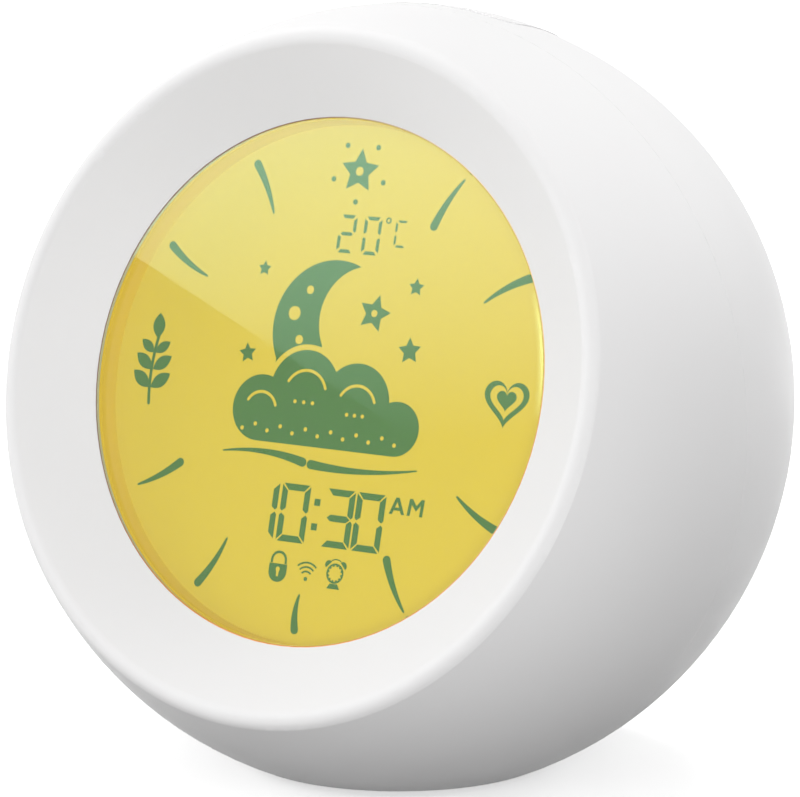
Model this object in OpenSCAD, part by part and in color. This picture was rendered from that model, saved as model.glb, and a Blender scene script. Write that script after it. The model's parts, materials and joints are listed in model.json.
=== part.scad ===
// Round bedside clock for a child's room, with a lit face that serves as a night light.
// Origin: under the middle of the clock, on the surface it stands on. The face looks towards -Y and up.

/* [Body] */
// Radius of the round body
body_r = 65; // [64:0.5:67]
// Thickness of the moulded housing walls
wall = 2.4; // [2.2:0.1:2.8]
// Depth by which the flat base cuts into the round body
base_cut = 5.2; // [4.2:0.2:6]
// Depth by which the flat rear cuts into the round body
rear_cut = 19.5; // [18.5:0.5:20]
// Rounding between the round body and the flat rear
rear_edge_r = 5; // [3:0.5:5.5]
// Rounding between the round body and the flat base
base_edge_r = 2.5; // [1.5:0.5:3.5]
// Open line left between the two housings
seam_gap = 0.06; // [0.04:0.02:0.2]
// Length of the tongue that reaches into the rear housing
lip_len = 1.5; // [1:0.1:2.2]

/* [Face] */
// Angle by which the face looks up
face_tilt = 15; // [13:0.5:17]
// Radius of the opening round the lens
lens_r = 42.6; // [41.6:0.2:43]
// Distance from the body's centre to the front of the lens
lens_reach = 26.1; // [25.6:0.1:27]
// Slope of the dished ring round the lens
dish_slope = 34.5; // [32:0.5:36]
// Rounding between the dished ring and the round body
rim_edge_r = 2.2; // [1.5:0.1:2.8]

/* [Lens and display] */
// Thickness of the lens where it fills the opening
lens_plug_t = 1.2; // [1:0.1:1.4]
// Thickness of the lens flange behind the opening
lens_flange_t = 1; // [0.8:0.1:1.2]
// Width of the lens flange and of the pieces that stack behind it
stack_overlap = 2; // [1.6:0.1:2.2]
// Distance from the back of the lens to the display
surround_t = 3.6; // [3.2:0.1:4]
// Thickness of each of the two glasses of the display
glass_t = 1.2; // [0.8:0.1:1.4]
// Width of the ledge of the front glass that the flat cable is bonded to
glass_ledge = 2.2; // [2:0.1:2.6]
// Thickness of the diffuser
diffuser_t = 2; // [1.5:0.1:2.4]
// Depth of the light box behind the diffuser
reflector_depth = 10; // [9:0.5:11]
// Wall of the light box
reflector_wall = 2.4; // [2.2:0.1:2.6]
// Number of lamps on the lamp board
led_count = 8; // [6:1:10]
// Distance of the lamps from the face's axis
led_ring_r = 24; // [22:0.5:26]
// Size of each lamp
led_size = 3.5; // [3:0.1:3.8]
// Radius of the lamp board
led_board_r = 33; // [32:0.5:34]
// Length of the posts between the light box and the main board
post_len = 10; // [9:0.5:12]
// Width of the flat cable of the display
flex_w = 20; // [16:1:21]

/* [Boards] */
// Thickness of the circuit boards
board_t = 1.6; // [1.2:0.1:1.8]
// Width of the main board
main_board_w = 72; // [71:0.5:74]
// Height of the main board
main_board_h = 56; // [55:0.5:58]
// Distance of the main board's holes from its edges
board_hole_inset = 4; // [3.6:0.1:4.5]
// Size of the body of each push switch
switch_size = 6; // [5:0.5:6.5]
// Height of the body of each push switch
switch_h = 3.5; // [3:0.1:4]
// Radius of the plunger of each push switch
plunger_r = 1.75; // [1.5:0.05:1.9]

/* [Top button] */
// Distance of the top button's middle behind the seam, measured straight back
top_set_back = 14.5; // [14:0.1:16]
// Width of the top button
top_w = 36.4; // [34:0.2:38]
// Length of the top button
top_l = 18; // [16:0.2:18.4]
// Corner radius of the top button
top_corner_r = 3.5; // [3:0.1:5]
// Height by which the top button stands proud of the body
top_proud = 0.15; // [0.1:0.05:0.4]
// Thickness of the top button's shell
top_shell = 2; // [1.6:0.1:2.2]
// How far the top button moves when pressed
top_travel = 0.8; // [0.5:0.05:0.9]

/* [Rear buttons] */
// Radius of each rear button
button_r = 3.75; // [3.4:0.05:3.9]
// Distance of the rear buttons from the middle of the rear
button_ring_r = 35; // [34.6:0.1:35.4]
// Angle between neighbouring rear buttons
button_pitch = 24; // [23:0.5:26]
// Height of the rear buttons above the recess
button_proud = 0.8; // [0.6:0.1:1]
// How far a rear button moves when pressed
button_travel = 0.5; // [0.3:0.05:0.6]

/* [Rear] */
// Radius of the shallow recess in the rear
recess_r = 41.8; // [41.5:0.1:42.5]
// Depth of the recess in the rear
recess_depth = 1.2; // [1:0.1:1.4]
// Height of the speaker above the middle of the rear
speaker_y = 9.5; // [9:0.1:9.8]
// Radius of the speaker
speaker_r = 14; // [13.6:0.1:14.2]
// Radius of each hole of the speaker grille
grille_hole_r = 0.9; // [0.7:0.05:1]
// Distance of the power inlet from the middle of the rear
inlet_x = 32; // [31.5:0.5:33]
// Height of the power inlet above the middle of the rear
inlet_y = 1; // [0.5:0.1:2]
// Width of the power inlet
inlet_w = 9; // [8.6:0.1:9.4]
// Height of the power inlet
inlet_h = 3.2; // [3:0.1:3.4]
// Length of the power inlet
inlet_len = 7.3; // [7:0.1:8]

/* [Battery bay] */
// Radius of each cell
cell_r = 5.25; // [5:0.05:5.3]
// Length of each cell
cell_len = 44.5; // [43.5:0.1:44.7]
// Depth of the middle of the battery bay below the middle of the rear
bay_drop = 19.5; // [19.2:0.1:20]
// Thickness of the battery door
door_t = 1.8; // [1.6:0.1:2]
// Wall of the battery bay
bay_wall = 1.6; // [1.4:0.1:1.8]
// Length that a contact spring fills when a cell presses on it
contact_spring_len = 2.7; // [2.4:0.1:3]

/* [Fasteners] */
// Radius of the long housing screws
housing_screw_r = 1.5; // [1.3:0.05:1.6]
// Length of the long housing screws
housing_screw_len = 12; // [10:0.5:13]
// Distance of the housing screws in from the body's surface, at the seam
housing_screw_inset = 10; // [9.6:0.1:10.4]
// Radius of the small screws
small_screw_r = 1; // [0.8:0.05:1.1]
// Length of the small screws
small_screw_len = 6; // [5:0.5:6.5]

/* [Feet] */
// Radius of each rubber foot
foot_r = 4; // [3.5:0.1:4.3]
// Thickness of each rubber foot
foot_t = 1.6; // [1.4:0.1:1.8]
// Height by which the feet lift the base
foot_proud = 0.8; // [0.6:0.1:1]
// Distance of the feet from the middle of the base
foot_ring_r = 18.5; // [17.5:0.1:19]

/* [Hidden] */
REAR_BUTTONS = ["alarm_button", "volume_down_button", "volume_up_button", "light_button"];
REAR_PLUNGERS = ["alarm_plunger", "volume_down_plunger", "volume_up_plunger", "light_plunger"];
$fn = 96;

// Clearances
fit_gap = 0.1;        // pieces that are pushed together and stay
play = 0.25;          // round a piece that moves or lifts off
top_play = 0.15;      // round the top button
stop_gap = 0.15;      // before a stop that a moving piece rests against
screw_gap = 0.05;     // round a screw, whose thread is left out
bite = 0.01;          // by which a rounding crosses the faces that it joins
far = 100;            // past the whole body

// Distances from the body's centre down to the flat base and back to the flat rear
base_drop = body_r - base_cut;
rear_reach = body_r - rear_cut;

// Stack behind the lens, as distances from the body's centre along the face's axis
stack_r = lens_r + stack_overlap;
stack_piece_r = stack_r - 2 * fit_gap;
lens_step = lens_reach - lens_plug_t;
lens_back = lens_step - lens_flange_t;
glass_front = lens_back - surround_t;
glass_middle = glass_front - glass_t;
glass_back = glass_middle - glass_t;
diffuser_back = glass_back - diffuser_t;
reflector_back = diffuser_back - reflector_depth;
ear_t = 2;
collar_end = reflector_back + ear_t;
collar_wall = 1.8;
led_board_back = reflector_back - board_t;
main_board_front = reflector_back - post_len;
main_board_back = main_board_front - board_t;

// Ears that hold the light box to the front housing
ear_r = 3;
ear_ring_r = stack_r + collar_wall + ear_r + 0.2;
ear_angles = [25, 155, 245, 295];
small_head_r = 1.9;
small_head_h = 1.3;
small_pilot_len = small_screw_len + 1;

// Flat cable of the display
flex_t = 0.2;
flex_drop = sqrt(pow(stack_r - 3 * fit_gap, 2) - pow(flex_w / 2, 2));
flex_slot_r = flex_drop - 0.4;
flex_slot_w = flex_w + 4;
ledge_r = stack_piece_r - glass_ledge;
led_peg_r = 1.5;
led_peg_ring_r = 29.5;
led_h = 1.4;
main_post_r = 3;
main_hole_x = main_board_w / 2 - board_hole_inset;
main_hole_y = main_board_h / 2 - board_hole_inset;

// Wireless module on the main board, beside the board's upper right screw, and its shield
module_w = 24;
module_l = 18;
module_x = main_hole_x + 1 - module_w / 2;
module_y = main_hole_y - small_head_r - 1.1 - module_l / 2;
module_t = 0.8;
shield_size = 16;
shield_h = 2.2;
shield_inset = 0.6;

// Sockets along the upper edge of the main board, and the one of the flat cable at its lower edge
socket_l = 5;
socket_w = 8;
socket_h = 4.5;
socket_inset = 6;
socket_xs = [-24, -10, 4];
flex_socket_h = 2.2;
flex_socket_inset = 4;

// Chips on the main board: x, y, width, length and height of each, and then the two tall capacitors
chips = [[-6, 2, 14, 14, 1.4], [-20, 4, 6, 8, 1.2], [-20, -8, 7, 6, 1.6], [8, -9, 5, 5, 1]];
capacitor_xs = [18, 26];
capacitor_y = -8;
capacitor_r = 3.1;
capacitor_h = 8;

// Long screws
housing_screw_ring = body_r - housing_screw_inset;
housing_head_r = 2.8;
housing_head_h = 2;
screw_web = 4;
well_r = housing_head_r + 0.4;
rear_boss_r = well_r + 1.4;
front_boss_r = housing_screw_r + 2.25;
screw_angles = [45, 135, 225, 315];

// Rear
rear_floor = rear_reach - recess_depth;
rear_inner = rear_floor - wall;
button_hole_r = button_r + play;
button_flange_r = button_r + 1.05;
button_flange_t = 1.2;
button_stem_r = 1.6;
button_stem_len = 2;
button_flange_top = rear_inner - stop_gap;
button_stem_end = button_flange_top - button_flange_t - button_stem_len;
button_angles = [for (i = [-1.5:1:1.5]) i * button_pitch];
button_throw = button_travel + 0.3;
switch_top = button_stem_end - button_throw;
key_board_top = switch_top - switch_h;
key_board_in = 5.2;
key_board_out = 5.8;
key_board_angle = 1.5 * button_pitch + 11;
key_post_r = 2.1;

// Speaker, as distances from the body's centre towards the rear
grille_t = wall / 2;
grille_r = speaker_r - 1;
grille_open_r = grille_r - 1.2;
grille_rows = 3;
grille_row_pitch = 3;
gasket_t = 1;
frame_front = rear_inner - gasket_t;
frame_t = 1.2;
frame_back = frame_front - frame_t;
basket_depth = 6.5;
basket_r = 8.6;
magnet_t = 6;
clamp_t = 1.2;
clamp_ear_x = speaker_r + 4.5;
clamp_ear_r = 2.6;
speaker_screw_len = small_screw_len - 1.6;
speaker_pilot_end = frame_back - clamp_t + speaker_screw_len + 0.4;

// Battery bay, centred bay_drop below the middle of the rear
bay_gap = 0.45;
plate_t = 0.5;
bay_l = cell_len + contact_spring_len + 2 * plate_t + 3 * fit_gap;
bay_w = 4 * cell_r + 3 * bay_gap;
bay_d = 2 * cell_r + 2 * bay_gap;
bay_floor = rear_floor - door_t - bay_d;
ledge = 1.6;
bay_corner_r = 1.4;
door_l = bay_l + 2 * ledge;
door_w = bay_w + 2 * ledge;
door_corner_r = 4;
door_ear_r = 4;
door_ear_y = -door_w / 2 - 0.5;
door_screw_len = 7;
door_rib_h = 0.8;

// Power inlet
inlet_gap = 0.4;
inlet_mouth = rear_floor - 0.4;
inlet_skin = 0.3;
inlet_board_l = 14;
inlet_board_w = 14;
inlet_board_top = inlet_y - inlet_h / 2;
shelf_t = 1.6;
shelf_l = inlet_board_l - 1;

// Top button, in a frame whose Z leaves the body through the middle of the button
top_tilt = asin(top_set_back / body_r);
top_guide_wall = 1.4;
top_skirt_end = body_r - 8.6;
top_guide_end = top_skirt_end + 1.7;
top_hook = 1;
top_hook_l = 8;
top_stem_r = 2.2;
top_stem_end = top_skirt_end - 1.4;
top_throw = top_travel + 0.2;
top_switch_top = top_stem_end - top_throw;
top_board_top = top_switch_top - switch_h;
top_post_x = top_w / 2 + 5.8;
top_post_r = 2.6;
top_board_l = 2 * (top_post_x + top_post_r + 0.4);
top_board_w = 12;

function dot2(p, q) = p[0] * q[0] + p[1] * q[1];

// Middle of a rounding between the round body and a straight line through p that rises at slope
function edge_centre(p, slope, r) =
    let (along = [cos(slope), sin(slope)], inward = [sin(slope), -cos(slope)])
    let (q = p + (r - bite) * inward, reach = body_r - r + bite)
    q + along * (sqrt(pow(dot2(q, along), 2) - dot2(q, q) + reach * reach) - dot2(q, along));

// Distance along the face's axis of the dished ring's surface, taken inset under it
function dish_height(r, inset) = lens_reach + (r - lens_r) * tan(dish_slope) - inset / cos(dish_slope);

// The clock stands with its box centred on the origin
rim_centre = edge_centre([lens_r, lens_reach], dish_slope, rim_edge_r);
front_reach = rim_centre[1] * cos(face_tilt) + rim_centre[0] * sin(face_tilt) + rim_edge_r;
centre_y = (front_reach - rear_reach) / 2;
centre_z = base_drop + foot_proud;

module body_frame() {
    translate([0, centre_y, centre_z]) children();
}

// Z out of the middle of the face, X to the right as the body's X
module face() {
    rotate([90 - face_tilt, 0, 0]) children();
}

// Z out of the rear, X to the right as seen from behind
module rear() {
    rotate([90, 0, 180]) children();
}

// Z out through the top button
module top() {
    rotate([-top_tilt, 0, 0]) children();
}

module behind(y) {
    translate([-far, y, -far]) cube(2 * far);
}

module ahead_of(y) {
    translate([-far, y - 2 * far, -far]) cube(2 * far);
}

// Everything outside a flat or a cone that cuts the round body, with the edge between them rounded
module edge_cutter(p, slope, r) {
    inward = [sin(slope), -cos(slope)];
    c = edge_centre(p, slope, r);
    foot = c - r * inward;
    outside = c * (1.5 * body_r / norm(c));
    rotate_extrude() difference() {
        polygon(concat([[0, p[1]]], p[0] > 0 ? [p] : [], [foot, c, outside, [0, 1.5 * body_r]]));
        translate(c) circle(r);
    }
}

// The round body with its flat base, inset from the outer surface
module ball(inset) {
    difference() {
        sphere(r = body_r - inset);
        translate([-far, -far, inset - base_drop - 2 * far]) cube(2 * far);
    }
}

module front_core(inset) {
    difference() {
        ball(inset);
        face() rotate_extrude() polygon([
            [lens_r, dish_height(lens_r, inset)], [far, dish_height(far, inset)], [far, 2 * far], [lens_r, 2 * far]
        ]);
    }
}

module rear_core(inset) {
    difference() {
        ball(inset);
        behind(rear_floor - inset);
    }
}

module base_edge() {
    rotate([180, 0, 0]) edge_cutter([0, base_drop], 0, base_edge_r);
}

module ring(outer, inner, h) {
    difference() {
        cylinder(r = outer, h = h);
        translate([0, 0, -1]) cylinder(r = inner, h = h + 2);
    }
}

// Plate with rounded corners; with a corner radius of half its length its ends are half round
module rounded_plate(w, l, r, h) {
    straight_l = l - 2 * r;
    linear_extrude(h) {
        square([w - 2 * r, l], center = true);
        if (straight_l > bite) square([w, straight_l], center = true);
        for (x = [-1, 1], y = straight_l > bite ? [-1, 1] : [0]) {
            translate([x * (w / 2 - r), y * straight_l / 2]) circle(r);
        }
    }
}

// Screw with its head standing on the plane z = 0 and its shank below
module screw(r, len, head_r, head_h) {
    recess_w = 0.5 * r;
    difference() {
        union() {
            translate([0, 0, -len]) cylinder(r1 = 0.4 * r, r2 = r, h = r);
            translate([0, 0, r - len]) cylinder(r = r, h = len - r);
            cylinder(r1 = head_r, r2 = 0.8 * head_r, h = head_h);
        }
        for (a = [0, 90]) {
            rotate(a) translate([-head_r / 2, -recess_w / 2, head_h / 2]) cube([head_r, recess_w, head_h]);
        }
    }
}

module small_screw() {
    screw(small_screw_r, small_screw_len, small_head_r, small_head_h);
}

module small_pilot() {
    cylinder(r = small_screw_r + screw_gap, h = small_pilot_len);
}

// Places of repeated pieces
module at_housing_screws() {
    for (a = screw_angles) {
        translate([housing_screw_ring * cos(a), 0, housing_screw_ring * sin(a)]) rotate([-90, 0, 0]) children();
    }
}

module at_ears() {
    face() for (a = ear_angles) rotate(a) translate([ear_ring_r, 0, 0]) children();
}

module at_feet(quadrants) {
    for (a = quadrants) {
        rotate(a) translate([foot_ring_r, 0, -centre_z]) children();
    }
}

module at_button(i) {
    a = button_angles[i];
    rear() translate([button_ring_r * sin(a), button_ring_r * cos(a), 0]) rotate(-a) children();
}

module at_key_posts() {
    for (a = [-button_pitch, button_pitch]) {
        rear() rotate(-a) translate([0, button_ring_r, 0]) children();
    }
}

module at_speaker() {
    rear() translate([0, speaker_y, 0]) children();
}

module at_speaker_ears() {
    at_speaker() for (x = [-1, 1]) translate([x * clamp_ear_x, 0, 0]) children();
}

module at_bay() {
    rear() translate([0, -bay_drop, 0]) children();
}

module at_inlet() {
    rear() translate([inlet_x, 0, 0]) children();
}

module at_top_posts() {
    top() for (x = [-1, 1]) translate([x * top_post_x, 0, 0]) children();
}

module at_main_holes() {
    face() for (x = [-1, 1], y = [-1, 1]) translate([x * main_hole_x, y * main_hole_y, 0]) children();
}

module foot_pockets(quadrants) {
    at_feet(quadrants) translate([0, 0, -1]) cylinder(r = foot_r + fit_gap, h = foot_t + 1);
}

// Front half: the dished ring round the lens, the collar that the display stacks up in, and the screw bosses
module front_housing() {
    color("white") body_frame() difference() {
        union() {
            difference() {
                union() {
                    difference() {
                        ball(0);
                        base_edge();
                        behind(0);
                        face() edge_cutter([lens_r, lens_reach], dish_slope, rim_edge_r);
                    }
                    difference() {
                        ball(wall / 2 + fit_gap);
                        ahead_of(-wall);
                        behind(lip_len);
                    }
                }
                front_core(wall);
            }
            intersection() {
                union() {
                    face() translate([0, 0, collar_end]) ring(stack_r + collar_wall, stack_r, far);
                    at_ears() translate([0, 0, collar_end]) cylinder(r = ear_r, h = far);
                    mirror([0, 1, 0]) at_housing_screws() cylinder(r = front_boss_r, h = base_drop / 2);
                }
                front_core(wall / 2);
            }
        }
        face() translate([0, 0, collar_end]) cylinder(r = stack_r, h = lens_step - collar_end);
        at_ears() translate([0, 0, collar_end - 1]) small_pilot();
        mirror([0, 1, 0]) at_housing_screws() translate([0, 0, -1]) {
            cylinder(r = housing_screw_r + screw_gap, h = housing_screw_len - screw_web + 2);
        }
        foot_pockets([225, 315]);
    }
}

// Rear half: the recess with its openings, the battery bay, the screw wells and what carries the rear pieces
module rear_housing() {
    color("white") body_frame() difference() {
        union() {
            difference() {
                ball(0);
                base_edge();
                ahead_of(seam_gap);
                rear() edge_cutter([0, rear_reach], 0, rear_edge_r);
                rear_core(wall);
                difference() {
                    ball(wall / 2);
                    behind(lip_len + fit_gap);
                }
            }
            intersection() {
                union() {
                    at_housing_screws() cylinder(r = rear_boss_r, h = far);
                    top() translate([0, 0, top_guide_end]) {
                        rounded_plate(top_w + 2 * (top_play + top_guide_wall),
                            top_l + 2 * (top_play + top_guide_wall), top_corner_r + top_guide_wall, far);
                    }
                    at_top_posts() translate([0, 0, top_board_top]) cylinder(r = top_post_r, h = far);
                }
                rear_core(wall / 2);
            }
            at_bay() translate([0, 0, bay_floor - bay_wall]) {
                rounded_plate(bay_l + 2 * bay_wall, bay_w + 2 * bay_wall, bay_corner_r + bay_wall,
                    rear_inner + 1 - bay_floor + bay_wall);
            }
            at_bay() translate([0, door_ear_y, rear_inner + 1 - door_screw_len]) {
                cylinder(r = door_ear_r - 0.6, h = door_screw_len);
            }
            at_speaker() translate([0, 0, frame_back + fit_gap]) {
                ring(speaker_r + fit_gap + bay_wall, speaker_r + fit_gap, rear_inner + 1 - frame_back);
            }
            at_speaker_ears() translate([0, 0, frame_back]) {
                cylinder(r = clamp_ear_r, h = rear_inner + 1 - frame_back);
            }
            at_key_posts() translate([0, 0, key_board_top]) {
                cylinder(r = key_post_r, h = rear_inner + 1 - key_board_top);
            }
            at_inlet() translate([-inlet_board_w / 2, inlet_board_top - board_t - shelf_t, rear_inner - shelf_l]) {
                cube([inlet_board_w, shelf_t, shelf_l + 1]);
            }
        }
        at_housing_screws() translate([0, 0, screw_web]) cylinder(r = well_r, h = far);
        at_housing_screws() translate([0, 0, -1]) cylinder(r = housing_screw_r + screw_gap, h = far);
        rear() translate([0, 0, rear_floor]) cylinder(r = recess_r, h = far);
        for (i = [0:3]) at_button(i) translate([0, 0, rear_inner - 1]) cylinder(r = button_hole_r, h = far);
        at_key_posts() translate([0, 0, key_board_top - 1]) small_pilot();
        at_speaker() translate([0, 0, rear_inner - 1]) cylinder(r = grille_r + fit_gap, h = grille_t + 1);
        at_speaker() translate([0, 0, rear_inner]) cylinder(r = grille_open_r, h = far);
        at_speaker_ears() translate([0, 0, frame_back - 1]) {
            cylinder(r = small_screw_r + screw_gap, h = speaker_pilot_end - frame_back + 1);
        }
        at_bay() translate([0, 0, bay_floor]) rounded_plate(bay_l, bay_w, bay_corner_r, far);
        at_bay() translate([0, 0, rear_floor - door_t]) door_outline(play, far);
        at_bay() translate([0, door_ear_y, rear_inner - door_screw_len]) {
            cylinder(r = small_screw_r + fit_gap, h = far);
        }
        at_inlet() translate([0, inlet_y, rear_inner - 1]) {
            rounded_plate(inlet_w + 2 * inlet_gap, inlet_h + 2 * inlet_gap, inlet_h / 2 + inlet_gap, far);
        }
        at_inlet() translate([0, inlet_board_top - board_t, rear_inner - shelf_l + 3]) rotate([90, 0, 0]) {
            translate([0, 0, -1]) cylinder(r = small_screw_r + screw_gap, h = shelf_t + 2);
        }
        top() translate([0, 0, top_board_top + 1]) {
            rounded_plate(top_w + 2 * top_play, top_l + 2 * top_play, top_corner_r + top_play, far);
        }
        at_top_posts() translate([0, 0, top_board_top - 1]) small_pilot();
        foot_pockets([45, 135]);
    }
}

module housing_screws() {
    color("silver") body_frame() at_housing_screws() translate([0, 0, screw_web]) {
        screw(housing_screw_r, housing_screw_len, housing_head_r, housing_head_h);
    }
}

module rubber_feet() {
    color("gray") body_frame() at_feet([45, 135, 225, 315]) {
        cylinder(r1 = foot_r - foot_proud / 2, r2 = foot_r, h = foot_proud / 2);
        translate([0, 0, foot_proud / 2]) cylinder(r = foot_r, h = foot_t - foot_proud / 2);
    }
}

// Clear lens, dropped in from behind against the edge of the opening
module lens() {
    color("lightyellow", 0.3) body_frame() face() {
        translate([0, 0, lens_step]) cylinder(r = lens_r - fit_gap, h = lens_plug_t);
        translate([0, 0, lens_back]) cylinder(r = stack_piece_r, h = lens_flange_t);
    }
}

// Tinted ring that spaces the lens from the display and shows as a coloured wall
module display_surround() {
    color("orange") body_frame() face() rotate_extrude() polygon([
        [lens_r - 0.3, lens_back], [stack_piece_r, lens_back], [stack_piece_r, glass_front],
        [lens_r - 0.5, glass_front]
    ]);
}

// Two glasses; the rear one stops short at the bottom, where the flat cable meets the front one
module display_glass() {
    color("gold") body_frame() face() {
        translate([0, 0, glass_middle]) cylinder(r = stack_piece_r, h = glass_t);
        difference() {
            translate([0, 0, glass_back]) cylinder(r = stack_piece_r, h = glass_t);
            translate([-far, -ledge_r - far, glass_back - 1]) cube([2 * far, far, glass_t + 1]);
        }
    }
}

// Flat cable from the ledge of the front glass, round the light box, to its socket on the main board
module display_flex() {
    socket_y = -main_board_h / 2 + flex_socket_inset;
    path = [
        [-ledge_r - 0.3, glass_middle - flex_t / 2], [-flex_drop, glass_middle - flex_t / 2],
        [-flex_drop, reflector_back - 3], [-main_board_h / 2 - 2, main_board_back - 1], [socket_y, main_board_back - 1]
    ];
    color("peru") body_frame() face() rotate([90, 0, 90]) linear_extrude(flex_w, center = true) {
        for (i = [0:len(path) - 2]) hull() {
            translate(path[i]) square(flex_t, center = true);
            translate(path[i + 1]) square(flex_t, center = true);
        }
    }
}

module flex_slot() {
    translate([-flex_slot_w / 2, -flex_slot_r - far, 0]) cube([flex_slot_w, far, far]);
}

module diffuser() {
    color("ivory") body_frame() face() difference() {
        translate([0, 0, diffuser_back]) cylinder(r = stack_piece_r, h = diffuser_t);
        flex_slot();
    }
}

// White light box: tapered inside, with windows for the lamps, ears at its back and posts for the main board
module reflector() {
    floor_r = led_board_r + 8.5;
    color("snow") body_frame() difference() {
        union() {
            face() rotate_extrude() polygon([
                [0, reflector_back], [floor_r, reflector_back], [stack_piece_r, reflector_back + reflector_depth / 2],
                [stack_piece_r, diffuser_back], [stack_piece_r - reflector_wall, diffuser_back],
                [floor_r - 2 * reflector_wall, reflector_back + reflector_wall], [0, reflector_back + reflector_wall]
            ]);
            at_ears() translate([0, 0, reflector_back]) {
                cylinder(r = ear_r, h = ear_t);
                translate([floor_r - ear_r - ear_ring_r, -ear_r, 0]) {
                    cube([ear_ring_r - floor_r + ear_r, 2 * ear_r, ear_t]);
                }
            }
            at_main_holes() translate([0, 0, main_board_front]) cylinder(r = main_post_r, h = post_len + 1);
            face() for (a = [90, 210, 330]) rotate(a) translate([led_peg_ring_r, 0, led_board_back - 0.6]) {
                cylinder(r = led_peg_r, h = reflector_back - led_board_back + 1);
            }
        }
        at_ears() translate([0, 0, reflector_back - 1]) cylinder(r = small_screw_r + fit_gap, h = ear_t + 2);
        at_main_holes() translate([0, 0, main_board_front - 1]) small_pilot();
        face() for (i = [0:led_count - 1]) rotate(i * 360 / led_count) {
            translate([led_ring_r, 0, reflector_back - 1]) cylinder(r = 0.75 * led_size, h = reflector_wall + 2);
        }
        face() flex_slot();
    }
}

module display_screws() {
    color("silver") body_frame() at_ears() translate([0, 0, reflector_back]) mirror([0, 0, 1]) small_screw();
}

module led_board() {
    color("white") body_frame() face() difference() {
        translate([0, 0, led_board_back]) cylinder(r = led_board_r, h = board_t);
        for (a = [90, 210, 330]) rotate(a) translate([led_peg_ring_r, 0, led_board_back - 1]) {
            cylinder(r = led_peg_r + fit_gap, h = board_t + 2);
        }
    }
}

module leds() {
    color("khaki") body_frame() face() for (i = [0:led_count - 1]) rotate(i * 360 / led_count) {
        translate([led_ring_r, 0, reflector_back]) difference() {
            translate([-led_size / 2, -led_size / 2, 0]) cube([led_size, led_size, led_h]);
            translate([0, 0, led_h / 2]) cylinder(r1 = 0.3 * led_size, r2 = 0.4 * led_size, h = led_h);
        }
    }
}

module main_board() {
    color("seagreen") body_frame() difference() {
        face() translate([-main_board_w / 2, -main_board_h / 2, main_board_back]) {
            cube([main_board_w, main_board_h, board_t]);
        }
        at_main_holes() translate([0, 0, main_board_back - 1]) {
            cylinder(r = small_screw_r + fit_gap, h = board_t + 2);
        }
    }
}

// A block soldered to the back of the main board: its middle, size and height
module on_main_board(x, y, w, l, h) {
    face() translate([x - w / 2, y - l / 2, main_board_back - h]) cube([w, l, h]);
}

module main_chips() {
    color("dimgray") body_frame() {
        for (c = chips) on_main_board(c[0], c[1], c[2], c[3], c[4]);
        for (x = capacitor_xs) face() translate([x, capacitor_y, main_board_back - capacitor_h]) {
            cylinder(r = capacitor_r, h = capacitor_h);
        }
    }
}

module wireless_module() {
    shield_x = module_x - module_w / 2 + shield_inset;
    color("lightgray") body_frame() {
        on_main_board(module_x, module_y, module_w, module_l, module_t);
        face() translate([shield_x, module_y - shield_size / 2, main_board_back - module_t - shield_h]) {
            cube([shield_size, shield_size, shield_h + module_t / 2]);
        }
    }
}

module board_sockets() {
    color("beige") body_frame() {
        for (x = socket_xs) on_main_board(x, main_board_h / 2 - socket_inset, socket_w, socket_l, socket_h);
        difference() {
            on_main_board(0, -main_board_h / 2 + flex_socket_inset, flex_w + 4, socket_l, flex_socket_h);
            face() translate([-flex_w / 2 - play, -main_board_h / 2, main_board_back - 1 - flex_t]) {
                cube([flex_w + 2 * play, socket_l - 0.8, 2 * flex_t]);
            }
        }
    }
}

module main_board_screws() {
    color("silver") body_frame() at_main_holes() translate([0, 0, main_board_back]) mirror([0, 0, 1]) small_screw();
}

// Cup-shaped button that follows the round body, with hooks that stop it under its guide
module top_button() {
    color("white") body_frame() top() {
        difference() {
            intersection() {
                translate([0, 0, top_skirt_end]) rounded_plate(top_w, top_l, top_corner_r, far);
                sphere(r = body_r + top_proud);
            }
            intersection() {
                translate([0, 0, top_skirt_end - 1]) {
                    rounded_plate(top_w - 2 * top_shell, top_l - 2 * top_shell, top_corner_r - 1, far);
                }
                sphere(r = body_r - top_shell);
            }
        }
        translate([0, 0, top_stem_end]) cylinder(r = top_stem_r, h = body_r - top_shell / 2 - top_stem_end);
        for (x = [-1, 1]) translate([x * (top_w + top_hook) / 2, 0, top_skirt_end]) {
            translate([-top_hook / 2 - 0.5, -top_hook_l / 2, 0]) {
                cube([top_hook + 1, top_hook_l, top_guide_end - top_skirt_end - stop_gap]);
            }
        }
    }
}

module top_plunger() {
    color("dimgray") body_frame() top() translate([0, 0, top_switch_top - button_stem_len]) {
        cylinder(r = plunger_r, h = top_throw + button_stem_len);
    }
}

// Body of a push switch standing on z = 0, open at the top for its plunger
module push_switch() {
    difference() {
        translate([-switch_size / 2, -switch_size / 2, 0]) cube([switch_size, switch_size, switch_h]);
        translate([0, 0, switch_h - button_stem_len - 0.9]) cylinder(r = plunger_r + fit_gap, h = switch_h);
    }
}

module top_switch() {
    color("silver") body_frame() top() translate([0, 0, top_board_top]) push_switch();
}

module top_switch_board() {
    color("seagreen") body_frame() difference() {
        top() translate([-top_board_l / 2, -top_board_w / 2, top_board_top - board_t]) {
            cube([top_board_l, top_board_w, board_t]);
        }
        at_top_posts() translate([0, 0, top_board_top - board_t - 1]) {
            cylinder(r = small_screw_r + fit_gap, h = board_t + 2);
        }
    }
}

module top_board_screws() {
    color("silver") body_frame() at_top_posts() translate([0, 0, top_board_top - board_t]) {
        mirror([0, 0, 1]) small_screw();
    }
}

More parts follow.
